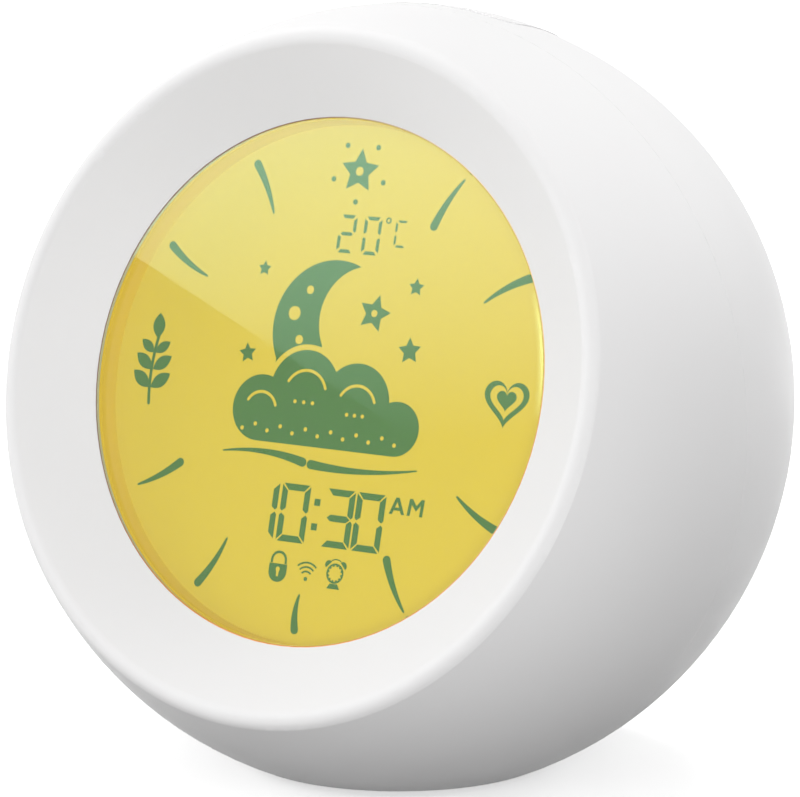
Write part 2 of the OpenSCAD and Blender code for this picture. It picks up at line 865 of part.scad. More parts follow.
// Rear button: a domed cap, a flange that stops it behind the wall, and a stem
module rear_button(i) {
    cap_top = rear_floor + button_proud;
    dome_r = 4 * button_r;
    color("gainsboro") body_frame() at_button(i) {
        intersection() {
            translate([0, 0, button_flange_top - 1]) cylinder(r = button_r, h = cap_top - button_flange_top + 1);
            translate([0, 0, cap_top - dome_r]) sphere(r = dome_r);
        }
        translate([0, 0, button_flange_top - button_flange_t]) cylinder(r = button_flange_r, h = button_flange_t);
        translate([0, 0, button_stem_end]) cylinder(r = button_stem_r, h = button_stem_len + 0.5);
    }
}

module rear_plunger(i) {
    color("dimgray") body_frame() at_button(i) translate([0, 0, switch_top - button_stem_len]) {
        cylinder(r = plunger_r, h = button_throw + button_stem_len);
    }
}

module key_switches() {
    color("silver") body_frame() for (i = [0:3]) at_button(i) translate([0, 0, key_board_top]) push_switch();
}

module key_board() {
    side = far * [sin(key_board_angle), cos(key_board_angle)];
    color("seagreen") body_frame() difference() {
        rear() translate([0, 0, key_board_top - board_t]) linear_extrude(board_t) intersection() {
            difference() {
                circle(button_ring_r + key_board_out);
                circle(button_ring_r - key_board_in);
            }
            polygon([[0, 0], [-side[0], side[1]], [0, 2 * far], side]);
        }
        at_key_posts() translate([0, 0, key_board_top - board_t - 1]) {
            cylinder(r = small_screw_r + fit_gap, h = board_t + 2);
        }
    }
}

module key_board_screws() {
    color("silver") body_frame() at_key_posts() translate([0, 0, key_board_top - board_t]) {
        mirror([0, 0, 1]) small_screw();
    }
}

// Perforated disc behind the round opening in the rear
module speaker_grille() {
    color("gainsboro") body_frame() at_speaker() translate([0, 0, rear_inner]) difference() {
        cylinder(r = grille_r, h = grille_t);
        translate([0, 0, -1]) cylinder(r = grille_hole_r, h = grille_t + 2);
        for (row = [1:grille_rows], i = [0:6 * row - 1]) rotate(i * 60 / row) {
            translate([row * grille_row_pitch, 0, -1]) cylinder(r = grille_hole_r, h = grille_t + 2);
        }
    }
}

module speaker_gasket() {
    color("dimgray") body_frame() at_speaker() translate([0, 0, frame_front]) {
        ring(speaker_r, grille_open_r - 0.4, gasket_t);
    }
}

// Pressed basket with four windows
module speaker_frame() {
    skin = 0.8;
    back = frame_back - basket_depth;
    color("silver") body_frame() at_speaker() difference() {
        rotate_extrude() polygon([
            [speaker_r, frame_front], [speaker_r, frame_back], [speaker_r - 1.4, frame_back], [basket_r, back],
            [0, back], [0, back + skin], [basket_r - skin, back + skin], [speaker_r - 1.4 - skin, frame_front - 0.4],
            [speaker_r - 1.6, frame_front]
        ]);
        for (a = [45:90:315]) rotate(a) translate([basket_r, -2.5, back + 1.5]) cube([speaker_r, 5, 3.2]);
    }
}

// Paper cone with its rolled edge and dust cap
module speaker_cone() {
    rim = speaker_r - 2.6;
    top_z = frame_front - 0.5;
    neck_r = 3.6;
    neck_z = top_z - 4.2;
    skin = 0.4;
    cap_r = neck_r - 0.2;
    cap_dome_r = 4.5;
    cap_dome_z = neck_z + skin / 2 - cap_dome_r / 2;
    color("black") body_frame() at_speaker() {
        rotate_extrude() polygon([
            [rim, top_z], [rim, top_z - skin], [rim - 1.6, top_z - skin], [neck_r, neck_z], [0, neck_z],
            [0, neck_z + skin], [neck_r, neck_z + skin], [rim - 1.8, top_z]
        ]);
        intersection() {
            translate([0, 0, neck_z + skin / 2]) cylinder(r = cap_r, h = cap_dome_r);
            translate([0, 0, cap_dome_z]) sphere(r = cap_dome_r);
        }
    }
}

module speaker_magnet() {
    back = frame_back - basket_depth;
    color("gray") body_frame() at_speaker() {
        translate([0, 0, back - magnet_t]) cylinder(r = basket_r - 0.6, h = magnet_t - 1);
        translate([0, 0, back - 1]) cylinder(r = basket_r, h = 1);
    }
}

// Ring with two ears that presses the speaker against its gasket
module speaker_clamp() {
    color("silver") body_frame() difference() {
        union() {
            at_speaker() translate([0, 0, frame_back - clamp_t]) cylinder(r = speaker_r, h = clamp_t);
            at_speaker() translate([-clamp_ear_x, -clamp_ear_r, frame_back - clamp_t]) {
                cube([2 * clamp_ear_x, 2 * clamp_ear_r, clamp_t]);
            }
            at_speaker_ears() translate([0, 0, frame_back - clamp_t]) cylinder(r = clamp_ear_r, h = clamp_t);
        }
        at_speaker() translate([0, 0, frame_back - clamp_t - 1]) cylinder(r = speaker_r - 1.2, h = clamp_t + 2);
        at_speaker_ears() translate([0, 0, frame_back - clamp_t - 1]) {
            cylinder(r = small_screw_r + fit_gap, h = clamp_t + 2);
        }
    }
}

module speaker_screws() {
    color("silver") body_frame() at_speaker_ears() translate([0, 0, frame_back - clamp_t]) mirror([0, 0, 1]) {
        screw(small_screw_r, speaker_screw_len, small_head_r, small_head_h);
    }
}

// Socket with a metal shell and the tongue inside it
module power_inlet() {
    tongue_w = inlet_w - 2.4;
    color("silver") body_frame() at_inlet() translate([0, inlet_y, inlet_mouth - inlet_len]) {
        difference() {
            rounded_plate(inlet_w, inlet_h, inlet_h / 2, inlet_len);
            translate([0, 0, 1.5]) {
                rounded_plate(inlet_w - 2 * inlet_skin, inlet_h - 2 * inlet_skin, inlet_h / 2 - inlet_skin, far);
            }
        }
        translate([-tongue_w / 2, -0.35, 1]) cube([tongue_w, 0.7, inlet_len - 2]);
    }
}

module inlet_board() {
    color("seagreen") body_frame() at_inlet() difference() {
        translate([-inlet_board_w / 2, inlet_board_top - board_t, rear_inner - fit_gap - inlet_board_l]) {
            cube([inlet_board_w, board_t, inlet_board_l]);
        }
        translate([0, inlet_board_top + 1, rear_inner - shelf_l + 3]) rotate([90, 0, 0]) {
            cylinder(r = small_screw_r + fit_gap, h = board_t + 2);
        }
    }
}

module inlet_screw() {
    color("silver") body_frame() at_inlet() translate([0, inlet_board_top, rear_inner - shelf_l + 3]) {
        rotate([-90, 0, 0]) screw(small_screw_r, board_t + shelf_t + 1, small_head_r, small_head_h);
    }
}

// Outline of the battery door: a rounded plate with an ear for its screw, grown by gap
module door_outline(gap, h) {
    rounded_plate(door_l + 2 * gap, door_w + 2 * gap, door_corner_r + gap, h);
    translate([0, door_ear_y, 0]) cylinder(r = door_ear_r + gap, h = h);
}

// Door that lies flush in the recess, with ribs that steady the cells and grip grooves across it
module battery_door() {
    rib_t = 1.2;
    groove_w = 1;
    groove_depth = 0.5;
    color("white") body_frame() at_bay() difference() {
        union() {
            translate([0, 0, rear_floor - door_t]) door_outline(-play, door_t);
            for (x = [-bay_l / 4, bay_l / 4]) {
                translate([x - rib_t / 2, -bay_w / 2 + 1, rear_floor - door_t - door_rib_h]) {
                    cube([rib_t, bay_w - 2, door_rib_h + 0.5]);
                }
            }
        }
        for (x = [-1, 1], y = [-1, 1]) translate([x * bay_l / 4, y * (cell_r + bay_gap / 2), 0]) {
            rotate([0, 90, 0]) translate([cell_r + bay_gap - rear_floor + door_t, 0, -rib_t]) {
                cylinder(r = cell_r + play, h = 2 * rib_t);
            }
        }
        for (y = [-2:2]) translate([-door_l / 8, y * 2 * groove_w - groove_w / 2, rear_floor - groove_depth]) {
            cube([door_l / 4, groove_w, door_t]);
        }
        translate([0, door_ear_y, rear_floor - door_t / 2]) cylinder(r = small_head_r + play, h = door_t);
        translate([0, door_ear_y, rear_floor - 2 * door_t]) cylinder(r = small_screw_r + fit_gap, h = 2 * door_t);
    }
}

module door_screw() {
    color("silver") body_frame() at_bay() translate([0, door_ear_y, rear_floor - door_t / 2]) {
        screw(small_screw_r, small_screw_len, small_head_r, door_t / 2);
    }
}

// Place of each cell; the second is turned end for end
module at_cells() {
    for (side = [-1, 1]) at_bay() {
        translate([0, side * (cell_r + bay_gap / 2), bay_floor + cell_r + bay_gap]) rotate([0, side * 90, 0]) children();
    }
}

module battery_cells() {
    nub_h = 0.8;
    nub_r = 1.9;
    color("steelblue") body_frame() at_cells() {
        translate([0, 0, bay_l / 2 - plate_t - fit_gap - cell_len]) cylinder(r = cell_r, h = cell_len - nub_h);
        translate([0, 0, bay_l / 2 - plate_t - fit_gap - nub_h]) cylinder(r = nub_r, h = nub_h);
    }
}

// A flat plate at the raised end of each cell, and a plate with a coned spring at the other
module battery_contacts() {
    wire_r = 0.35;
    plate_w = 2 * cell_r - 2.8;
    turns = [for (i = [0:3]) 3.6 - 0.5 * i];
    color("silver") body_frame() at_cells() {
        for (z = [-bay_l / 2, bay_l / 2 - plate_t]) translate([-plate_w / 2, -plate_w / 2, z]) {
            cube([plate_w, plate_w, plate_t]);
        }
        for (i = [0:len(turns) - 1]) {
            translate([0, 0, -bay_l / 2 + plate_t + wire_r / 2 + i * 1.6 * wire_r]) {
                rotate_extrude() translate([turns[i], 0]) circle(wire_r);
            }
        }
    }
}

front_housing();
rear_housing();
housing_screws();
rubber_feet();
lens();
display_surround();
display_glass();
display_flex();
diffuser();
reflector();
display_screws();
led_board();
leds();
main_board();
main_chips();
wireless_module();
board_sockets();
main_board_screws();
top_button();
top_plunger();
top_switch();
top_switch_board();
top_board_screws();
for (i = [0:3]) rear_button(i);
for (i = [0:3]) rear_plunger(i);
key_switches();
key_board();
key_board_screws();
speaker_grille();
speaker_gasket();
speaker_frame();
speaker_cone();
speaker_magnet();
speaker_clamp();
speaker_screws();
power_inlet();
inlet_board();
inlet_screw();
battery_door();
door_screw();
battery_cells();
battery_contacts();
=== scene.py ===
"""Looks of a child's round bedside clock with a lit face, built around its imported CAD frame."""

import json
import math

import bmesh
import bpy
from mathutils import Matrix, Vector
from mathutils.geometry import tessellate_polygon


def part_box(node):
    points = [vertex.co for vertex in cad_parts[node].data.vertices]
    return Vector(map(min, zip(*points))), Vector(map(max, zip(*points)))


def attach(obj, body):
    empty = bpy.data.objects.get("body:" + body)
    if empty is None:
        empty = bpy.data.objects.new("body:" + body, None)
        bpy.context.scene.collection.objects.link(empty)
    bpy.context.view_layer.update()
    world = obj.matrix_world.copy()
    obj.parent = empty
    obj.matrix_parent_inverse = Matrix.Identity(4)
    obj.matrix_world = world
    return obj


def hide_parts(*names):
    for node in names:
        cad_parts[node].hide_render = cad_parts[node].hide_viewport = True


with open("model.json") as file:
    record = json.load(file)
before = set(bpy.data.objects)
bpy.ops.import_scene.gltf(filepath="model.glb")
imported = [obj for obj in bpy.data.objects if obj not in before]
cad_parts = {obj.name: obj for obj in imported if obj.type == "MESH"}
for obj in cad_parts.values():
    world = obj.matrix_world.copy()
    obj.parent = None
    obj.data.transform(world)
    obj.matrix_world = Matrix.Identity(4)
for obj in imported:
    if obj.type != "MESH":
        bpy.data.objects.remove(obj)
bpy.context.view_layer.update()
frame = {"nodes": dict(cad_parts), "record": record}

MM = 0.001

# The round body, as the frame has it. Its rear lies REAR_REACH behind its centre
front_low, front_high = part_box("front_housing")
rear_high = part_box("rear_housing")[1]
REAR_REACH = 45.5 * MM
BODY_R = (front_high.x - front_low.x) / 2
CENTRE = Vector((0, rear_high.y - REAR_REACH, front_high.z - BODY_R))
FACE_TILT = math.radians(15)

# Lens and display, by their height over the body's centre along the face's axis
LENS_FRONT = 26.1 * MM
LENS_STEP = 24.9 * MM
LENS_BACK = 23.9 * MM
GLASS_FRONT = 20.3 * MM
PRINT_T = 0.04 * MM

# Radii about the face's axis, and the ring of painted light and shade that fills the gap round the lens
OPENING_R = 42.6 * MM
LENS_R = 42.44 * MM
FLANGE_R = 44.4 * MM
LENS_EDGE_ROUND = 0.15 * MM
LINE_R = 42.46 * MM
LINE_SUNK = 0.04 * MM
LENS_SIDES = 256
SHARP_ANGLE = math.radians(15)

# Marks on the rear keys
MARK_SUNK = 0.3 * MM
MARK_PROUD = 0.03 * MM

# Camera, in body radii from the body's centre
CAMERA_AZIMUTH = math.radians(32.93)
CAMERA_ELEVATION = math.radians(10.0)
CAMERA_DISTANCE = 10.637
CAMERA_RIGHT = 0.0031
CAMERA_UP = 0.0013
FOCAL_PIXELS = 4196.0
IMAGE_W = 800
IMAGE_H = 797
SENSOR = 36.0
CLIP_START = 0.01
CLIP_END = 50.0


def linear(red, green, blue):
    """A colour given as it looks on screen, 0 to 255, as linear light."""
    share = [c / 255 for c in (red, green, blue)]
    return [c / 12.92 if c <= 0.04045 else ((c + 0.055) / 1.055) ** 2.4 for c in share]


def shaded(colour, factor):
    return [min(1.0, c * factor) for c in colour]


def face_point(x, v, d):
    """A point x to the right and v up along the face, d out from the body's centre."""
    sin_t, cos_t = math.sin(FACE_TILT), math.cos(FACE_TILT)
    return CENTRE + Vector((x, v * sin_t - d * cos_t, v * cos_t + d * sin_t))


FACE_NORMAL = face_point(0, 0, 1) - face_point(0, 0, 0)


# ---------------------------------------------------------------- camera

def view_axes():
    """The camera's right, up and backward directions."""
    a, e = CAMERA_AZIMUTH, CAMERA_ELEVATION
    right = Vector((math.cos(a), math.sin(a), 0))
    back = Vector((math.sin(a) * math.cos(e), -math.cos(a) * math.cos(e), math.sin(e)))
    return right, back.cross(right), back


RIGHT, UP, BACK = view_axes()
CAMERA_POINT = CENTRE + BODY_R * (CAMERA_RIGHT * RIGHT + CAMERA_UP * UP + CAMERA_DISTANCE * BACK)


def make_camera():
    data = bpy.data.cameras.new("camera")
    data.sensor_width = SENSOR
    data.lens = SENSOR * FOCAL_PIXELS / IMAGE_W
    data.clip_start = CLIP_START
    data.clip_end = CLIP_END
    camera = bpy.data.objects.new("camera", data)
    turn = Matrix((RIGHT, UP, BACK)).transposed().to_4x4()
    camera.matrix_world = Matrix.Translation(CAMERA_POINT) @ turn
    bpy.context.scene.collection.objects.link(camera)
    bpy.context.scene.camera = camera


# ---------------------------------------------------------------- nodes

# Noise runs from 0 to 1, but keeps mostly between these two
NOISE_LOW = 0.3
NOISE_HIGH = 0.7


def feed(tree, socket, value):
    """Link an output to the socket, or set the socket's own value."""
    if isinstance(value, bpy.types.NodeSocket):
        tree.links.new(value, socket)
    else:
        socket.default_value = value


def add_node(tree, kind, inputs, **settings):
    """A new node. Each input is a socket's name or number, with its value or the output that feeds it."""
    node = tree.nodes.new(kind)
    for key, value in settings.items():
        setattr(node, key, value)
    for socket, value in inputs.items():
        feed(tree, node.inputs[socket], value)
    return node


def maths(tree, operation, *values, **settings):
    """The output of one step of arithmetic on outputs and numbers."""
    step = add_node(tree, "ShaderNodeMath", dict(enumerate(values)), operation=operation, **settings)
    return step.outputs[0]


def span(tree, value, low, high, to_low, to_high):
    """The output that runs from to_low to to_high as value runs from low to high, and stops there."""
    ends = {"Value": value, "From Min": low, "From Max": high, "To Min": to_low, "To Max": to_high}
    return add_node(tree, "ShaderNodeMapRange", ends).outputs["Result"]


class Finish:
    """A material with one Principled surface, and the nodes that vary it."""

    def __init__(self, name, **sockets):
        self.material = bpy.data.materials.new(name)
        self.material.use_nodes = True
        self.tree = self.material.node_tree
        self.surface = self.tree.nodes["Principled BSDF"]
        self.place = self.add("ShaderNodeTexCoord", {}).outputs["Object"]
        for socket, value in sockets.items():
            self.surface.inputs[socket.replace("_", " ")].default_value = value

    def add(self, kind, inputs, **settings):
        return add_node(self.tree, kind, inputs, **settings)

    def noise(self, size, detail=2.0, place=None):
        """Cloudy grey noise whose blots are about size across, in metres."""
        inputs = {"Vector": place or self.place, "Scale": 1 / size, "Detail": detail}
        return self.add("ShaderNodeTexNoise", inputs).outputs["Fac"]

    def cells(self, size):
        """Distance from the middle of the nearest of many cells that are about size across, in metres."""
        inputs = {"Vector": self.place, "Scale": 1 / size}
        return self.add("ShaderNodeTexVoronoi", inputs).outputs["Distance"]

    def stretched(self, x, y, z):
        """The place, scaled along each axis."""
        return self.add("ShaderNodeMapping", {"Vector": self.place, "Scale": (x, y, z)}).outputs["Vector"]

    def along(self, axis):
        """The place's X, Y or Z."""
        return self.add("ShaderNodeSeparateXYZ", {0: self.place}).outputs[axis]

    def span(self, value, low, high, to_low=0.0, to_high=1.0):
        return span(self.tree, value, low, high, to_low, to_high)

    def spread(self, noise, to_low, to_high):
        """Noise, spread from to_low to to_high."""
        return self.span(noise, NOISE_LOW, NOISE_HIGH, to_low, to_high)

    def mixed(self, share, first, second):
        """First colour where share is 0, second where it is 1. Each is an output or three numbers."""
        ends = [c if isinstance(c, bpy.types.NodeSocket) else (*c, 1) for c in (first, second)]
        return self.add("ShaderNodeMix", {0: share, 6: ends[0], 7: ends[1]}, data_type="RGBA").outputs[2]

    def colour(self, value):
        feed(self.tree, self.surface.inputs["Base Color"], value)

    def glowing(self, value):
        """One colour for the surface and for the light that it gives."""
        self.colour(value)
        feed(self.tree, self.surface.inputs["Emission Color"], value)

    def metallic(self, value):
        feed(self.tree, self.surface.inputs["Metallic"], value)

    def roughness(self, value):
        feed(self.tree, self.surface.inputs["Roughness"], value)

    def bump(self, height, depth):
        """Relief whose height output, from 0 to 1, stands for depth in metres."""
        relief = self.add("ShaderNodeBump", {"Height": height, "Distance": depth, "Strength": 1.0})
        feed(self.tree, self.surface.inputs["Normal"], relief.outputs["Normal"])


# ---------------------------------------------------------------- materials

DRIFT_SIZE = 22 * MM
HANDLED_SIZE = 9 * MM
ROUGH_DRIFT = 0.035


def moulded(name, colour, rough, grain, grain_depth, mottle=0.03, **sockets):
    """Moulded plastic: a fine grain, a drift of colour as strong as mottle and faint changes of gloss."""
    finish = Finish(name, **sockets)
    drift = finish.noise(DRIFT_SIZE, 3.0)
    finish.colour(finish.mixed(drift, shaded(colour, 1 - mottle), shaded(colour, 1 + mottle)))
    handled = finish.noise(HANDLED_SIZE, 4.0)
    finish.roughness(finish.spread(handled, rough - ROUGH_DRIFT, rough + ROUGH_DRIFT))
    finish.bump(finish.noise(grain, 3.0), grain_depth)
    return finish


def white_shell():
    return moulded("white_shell", (0.863, 0.858, 0.859), 0.42, 0.45 * MM, 0.006 * MM, mottle=0.006,
                   Specular_IOR_Level=0.2)


def clear_lens():
    """Clear plastic with faint wipe marks."""
    finish = Finish("clear_lens", Base_Color=(0.995, 0.995, 0.99, 1), Transmission_Weight=1.0, IOR=1.49)
    wiped = finish.noise(14 * MM, 5.0, finish.stretched(1, 0.35, 0.35))
    finish.roughness(finish.span(wiped, 0.35, NOISE_HIGH, 0.0, 0.035))
    return finish


def amber(name, near_lens, near_display, glow):
    """Tinted plastic that is lit from behind, from one tone at the lens to another at the display."""
    finish = Finish(name, Specular_IOR_Level=0.0, Emission_Strength=glow)
    height = finish.add("ShaderNodeVectorMath", {0: finish.place, 1: FACE_NORMAL}, operation="DOT_PRODUCT")
    centre = CENTRE.dot(FACE_NORMAL)
    depth = finish.span(height.outputs["Value"], centre + LENS_BACK, centre + GLASS_FRONT)
    drift = finish.noise(9 * MM, 3.0)
    ends = [finish.mixed(drift, shaded(c, 0.98), shaded(c, 1.02)) for c in (near_lens, near_display)]
    finish.glowing(finish.mixed(depth, *ends))
    finish.roughness(finish.spread(finish.noise(2 * MM, 4.0), 0.28, 0.42))
    finish.bump(finish.noise(0.5 * MM), 0.006 * MM)
    return finish


def amber_surround():
    return amber("amber_surround", (0.394, 0.275, 0.013), (0.392, 0.277, 0.0), 0.8)


# A painted glow on the clear lens' edge, for the light that runs in it
def lens_edge_glow():
    return amber("lens_edge_glow", (0.35, 0.35, 0.2), (0.35, 0.35, 0.2), 0.5)


# The ring's painted light is an orange glow where it lies far to the right and below, and a pale painted
# highlight far to the right and above
LINE_FAR = 0.62
LINE_ORANGE = (0.4, 0.8)
LINE_UP = (-1.1, 0.25)
LINE_ACROSS = 1.8
LINE_PALE = (0.72, 1.12)


def painted_edge_light():
    """Painted light and shade in the gap at the lens' edge: painted shade, brown, at the left, a painted
    glow, orange, below, and a pale painted highlight at the upper right.
    """
    finish = Finish("painted_edge_light", Specular_IOR_Level=0.2, Emission_Strength=0.4)
    bottom, top = CENTRE.z - OPENING_R, CENTRE.z + OPENING_R
    # Painted shade for the left, painted glow for below and painted highlight for the upper right
    brown, orange, pale = linear(130, 106, 97), linear(205, 132, 38), linear(225, 195, 150)
    across = finish.span(finish.along("X"), -OPENING_R, OPENING_R, 0.0, LINE_FAR)
    down = finish.span(finish.along("Z"), top, bottom, 0.0, LINE_FAR)
    up = finish.span(finish.along("Z"), bottom, top, *LINE_UP)
    to_lower_right = finish.span(maths(finish.tree, "ADD", across, down), *LINE_ORANGE)
    to_upper_right = finish.span(maths(finish.tree, "MULTIPLY_ADD", across, LINE_ACROSS, up), *LINE_PALE)
    finish.glowing(finish.mixed(to_upper_right, finish.mixed(to_lower_right, brown, orange), pale))
    finish.roughness(finish.spread(finish.noise(3 * MM), 0.35, 0.5))
    return finish


def lit_display():
    """Liquid-crystal glass over a warm backlight: an even glow with a faint grain from the diffuser."""
    finish = Finish("lit_display", Specular_IOR_Level=0.0, Emission_Strength=0.9)
    warm, cool, deep = (0.345, 0.266, 0.012), (0.34, 0.268, 0.013), (0.322, 0.25, 0.01)
    grain = finish.noise(1.1 * MM)
    tone = finish.mixed(finish.noise(30 * MM), warm, cool)
    finish.glowing(finish.mixed(finish.spread(grain, 0.0, 0.16), tone, deep))
    finish.roughness(finish.spread(grain, 0.38, 0.5))
    return finish


def display_print():
    """The darkened segments and pictures of the display."""
    finish = Finish("display_print", Specular_IOR_Level=0.0, Emission_Strength=0.9)
    patchy = finish.noise(0.6 * MM, 3.0)
    finish.glowing(finish.mixed(patchy, (0.024, 0.084, 0.011), (0.026, 0.091, 0.012)))
    finish.roughness(finish.spread(patchy, 0.5, 0.62))
    return finish


def diffuser_white():
    return moulded("diffuser_white", (0.85, 0.83, 0.76), 0.5, 0.25 * MM, 0.01 * MM,
                   Transmission_Weight=0.25)


def box_white():
    return moulded("box_white", (0.86, 0.86, 0.85), 0.55, 0.6 * MM, 0.02 * MM)


def flex_film():
    """Amber film with fine copper tracks along it."""
    film, copper = (0.45, 0.2, 0.04), (0.72, 0.38, 0.16)
    finish = moulded("flex_film", film, 0.35, 0.3 * MM, 0.004 * MM)
    inputs = {"Vector": finish.place, "Scale": 1 / (3.2 * MM), "Distortion": 0.0}
    tracks = finish.add("ShaderNodeTexWave", inputs, wave_profile="SIN", bands_direction="X")
    finish.colour(finish.mixed(finish.span(tracks.outputs["Fac"], 0.45, 0.6), film, copper))
    return finish


def board(name, mask, track):
    """Circuit board: solder mask over tracks, with tinned dots where they pass through."""
    finish = Finish(name, Specular_IOR_Level=0.5)
    inputs = {"Vector": finish.place, "Scale": 1 / (6 * MM), "Mortar Size": 0.035, "Mortar Smooth": 0.1,
              "Brick Width": 0.9, "Row Height": 0.31}
    bricks = finish.add("ShaderNodeTexBrick", inputs, offset=0.37, squash=1.6, squash_frequency=3)
    tracks = bricks.outputs["Fac"]
    dot = finish.span(finish.cells(3.4 * MM), 0.1, 0.13, 1.0, 0.0)
    mottled = finish.mixed(finish.noise(7 * MM), shaded(mask, 0.9), shaded(mask, 1.1))
    tin = (0.62, 0.6, 0.55)
    finish.colour(finish.mixed(dot, finish.mixed(tracks, mottled, track), tin))
    finish.metallic(finish.span(dot, 0, 1, 0.0, 0.9))
    finish.roughness(finish.span(dot, 0, 1, 0.4, 0.28))
    finish.bump(tracks, 0.03 * MM)
    return finish


def board_green():
    return board("board_green", (0.02, 0.16, 0.06), (0.06, 0.28, 0.1))


def board_white():
    return board("board_white", (0.8, 0.8, 0.78), (0.7, 0.7, 0.68))


def lamp():
    finish = moulded("lamp", (0.85, 0.72, 0.28), 0.35, 0.2 * MM, 0.01 * MM, Emission_Strength=0.8)
    finish.surface.inputs["Emission Color"].default_value = (1.0, 0.85, 0.45, 1)
    return finish


def chip_black():
    return moulded("chip_black", (0.02, 0.02, 0.022), 0.5, 0.15 * MM, 0.02 * MM, mottle=0.2)


def metal(name, colour, rough, run):
    """Metal with fine lines from rolling or turning that run along one axis."""
    finish = Finish(name, Metallic=1.0)
    lines = finish.noise(0.4 * MM, 4.0, finish.stretched(*run))
    patches = finish.noise(5 * MM, 3.0)
    finish.colour(finish.mixed(patches, shaded(colour, 0.88), shaded(colour, 1.08)))
    finish.roughness(finish.spread(lines, rough - 0.08, rough + 0.1))
    finish.bump(lines, 0.01 * MM)
    return finish


def can_metal():
    return metal("can_metal", (0.62, 0.62, 0.6), 0.34, (0.08, 1, 1))


def screw_steel():
    return metal("screw_steel", (0.55, 0.55, 0.56), 0.3, (1, 0.15, 1))


def magnet_steel():
    return metal("magnet_steel", (0.28, 0.28, 0.3), 0.45, (1, 1, 0.2))


def socket_beige():
    return moulded("socket_beige", (0.72, 0.66, 0.5), 0.45, 0.3 * MM, 0.01 * MM)


def key_grey():
    return moulded("key_grey", linear(216, 216, 216), 0.45, 0.3 * MM, 0.012 * MM, mottle=0.02)


def key_mark():
    return moulded("key_mark", linear(120, 122, 124), 0.5, 0.2 * MM, 0.01 * MM, mottle=0.04)


def rubber_grey():
    return moulded("rubber_grey", (0.16, 0.16, 0.165), 0.75, 0.35 * MM, 0.05 * MM, mottle=0.12)


def foam_black():
    finish = moulded("foam_black", (0.03, 0.03, 0.032), 0.95, 0.5 * MM, 0.02 * MM, mottle=0.25)
    finish.bump(finish.cells(0.6 * MM), 0.2 * MM)
    return finish


def cone_paper():
    """Pressed paper with fibres."""
    finish = moulded("cone_paper", (0.03, 0.03, 0.032), 0.8, 0.4 * MM, 0.03 * MM, mottle=0.3)
    fibres = finish.noise(0.5 * MM, 5.0, finish.stretched(1, 1, 0.2))
    finish.bump(fibres, 0.08 * MM)
    return finish


def cell_sleeve():
    """Printed sleeve of a cell, with a plain band near its ends and bare steel at the caps."""
    finish = Finish("cell_sleeve", Specular_IOR_Level=0.5)
    from_middle = maths(finish.tree, "ABSOLUTE", finish.along("X"))
    band = finish.span(from_middle, 13.8 * MM, 14.0 * MM)
    cap = finish.span(from_middle, 21.6 * MM, 21.7 * MM)
    plain, steel = (0.62, 0.63, 0.65), (0.6, 0.6, 0.6)
    scuffed = finish.noise(2.5 * MM, 4.0)
    sleeve = finish.mixed(scuffed, (0.035, 0.09, 0.16), (0.05, 0.115, 0.2))
    finish.colour(finish.mixed(cap, finish.mixed(band, sleeve, plain), steel))
    finish.metallic(cap)
    finish.roughness(finish.spread(scuffed, 0.26, 0.4))
    finish.bump(finish.noise(1.2 * MM), 0.01 * MM)
    return finish


MAKERS = [white_shell, clear_lens, amber_surround, lit_display, diffuser_white, box_white, flex_film,
          board_green, board_white, lamp, chip_black, can_metal, socket_beige, screw_steel, key_grey,
          rubber_grey, foam_black, cone_paper, magnet_steel, cell_sleeve, lens_edge_glow, painted_edge_light,
          display_print, key_mark]
FINISHES = {make.__name__: make().material for make in MAKERS}


def dress_cad_nodes():
    """Each CAD node takes the finish of its own slot."""
    for subpart in frame["record"]["subparts"]:
        mesh = frame["nodes"][subpart["node"]].data
        mesh.materials.clear()
        mesh.materials.append(FINISHES[subpart["material_slot"]])


# ---------------------------------------------------------------- flat outlines, as lists of points in mm

def arc(cx, cy, r, start, end, steps):
    """Points along an arc from angle start to angle end, in degrees."""
    angles = [math.radians(start + (end - start) * i / steps) for i in range(steps + 1)]
    return [(cx + r * math.cos(a), cy + r * math.sin(a)) for a in angles]


def disc(cx, cy, r, steps=32):
    return arc(cx, cy, r, 0, 360, steps)[:-1]


def turned(points, degrees, cx=0.0, cy=0.0):
    """Points turned about the origin and then moved by (cx, cy)."""
    c, s = math.cos(math.radians(degrees)), math.sin(math.radians(degrees))
    return [(cx + c * x - s * y, cy + s * x + c * y) for x, y in points]


STAR_WAIST = 0.5


def star(cx, cy, r, turn=90.0):
    """A star of five points, one of which points in the direction turn."""
    tips = [(r if i % 2 == 0 else STAR_WAIST * r, turn + 36 * i) for i in range(10)]
    return [(cx + q * math.cos(math.radians(a)), cy + q * math.sin(math.radians(a))) for q, a in tips]


def stroke(points, widths):
    """Outline of a brush stroke through points, with its width at each and a round end at both."""
    left, right = [], []
    for i, (x, y) in enumerate(points):
        ax, ay = points[max(i - 1, 0)]
        bx, by = points[min(i + 1, len(points) - 1)]
        run = math.hypot(bx - ax, by - ay)
        nx, ny = (ay - by) / run * widths[i] / 2, (bx - ax) / run * widths[i] / 2
        left.append((x + nx, y + ny))
        right.append((x - nx, y - ny))

    def cap(i, j):
        """Round end at points[i], seen from points[j]."""
        (x, y), (px, py) = points[i], points[j]
        a = math.degrees(math.atan2(y - py, x - px))
        return arc(x, y, widths[i] / 2, a + 90, a - 90, 8)[1:-1]

    return left + cap(-1, -2) + right[::-1] + cap(0, 1)


def even_stroke(points, width):
    return stroke(points, [width] * len(points))


def taper(first, last, count):
    return [first + (last - first) * i / (count - 1) for i in range(count)]


def curve_between(p, q, bend, steps):
    """Points from p to q along a parabola that leaves the straight line by bend."""
    run = math.hypot(q[0] - p[0], q[1] - p[1])
    nx, ny = (p[1] - q[1]) / run, (q[0] - p[0]) / run
    out = []
    for i in range(steps + 1):
        t = i / steps
        off = 4 * bend * t * (1 - t)
        out.append((p[0] + (q[0] - p[0]) * t + nx * off, p[1] + (q[1] - p[1]) * t + ny * off))
    return out


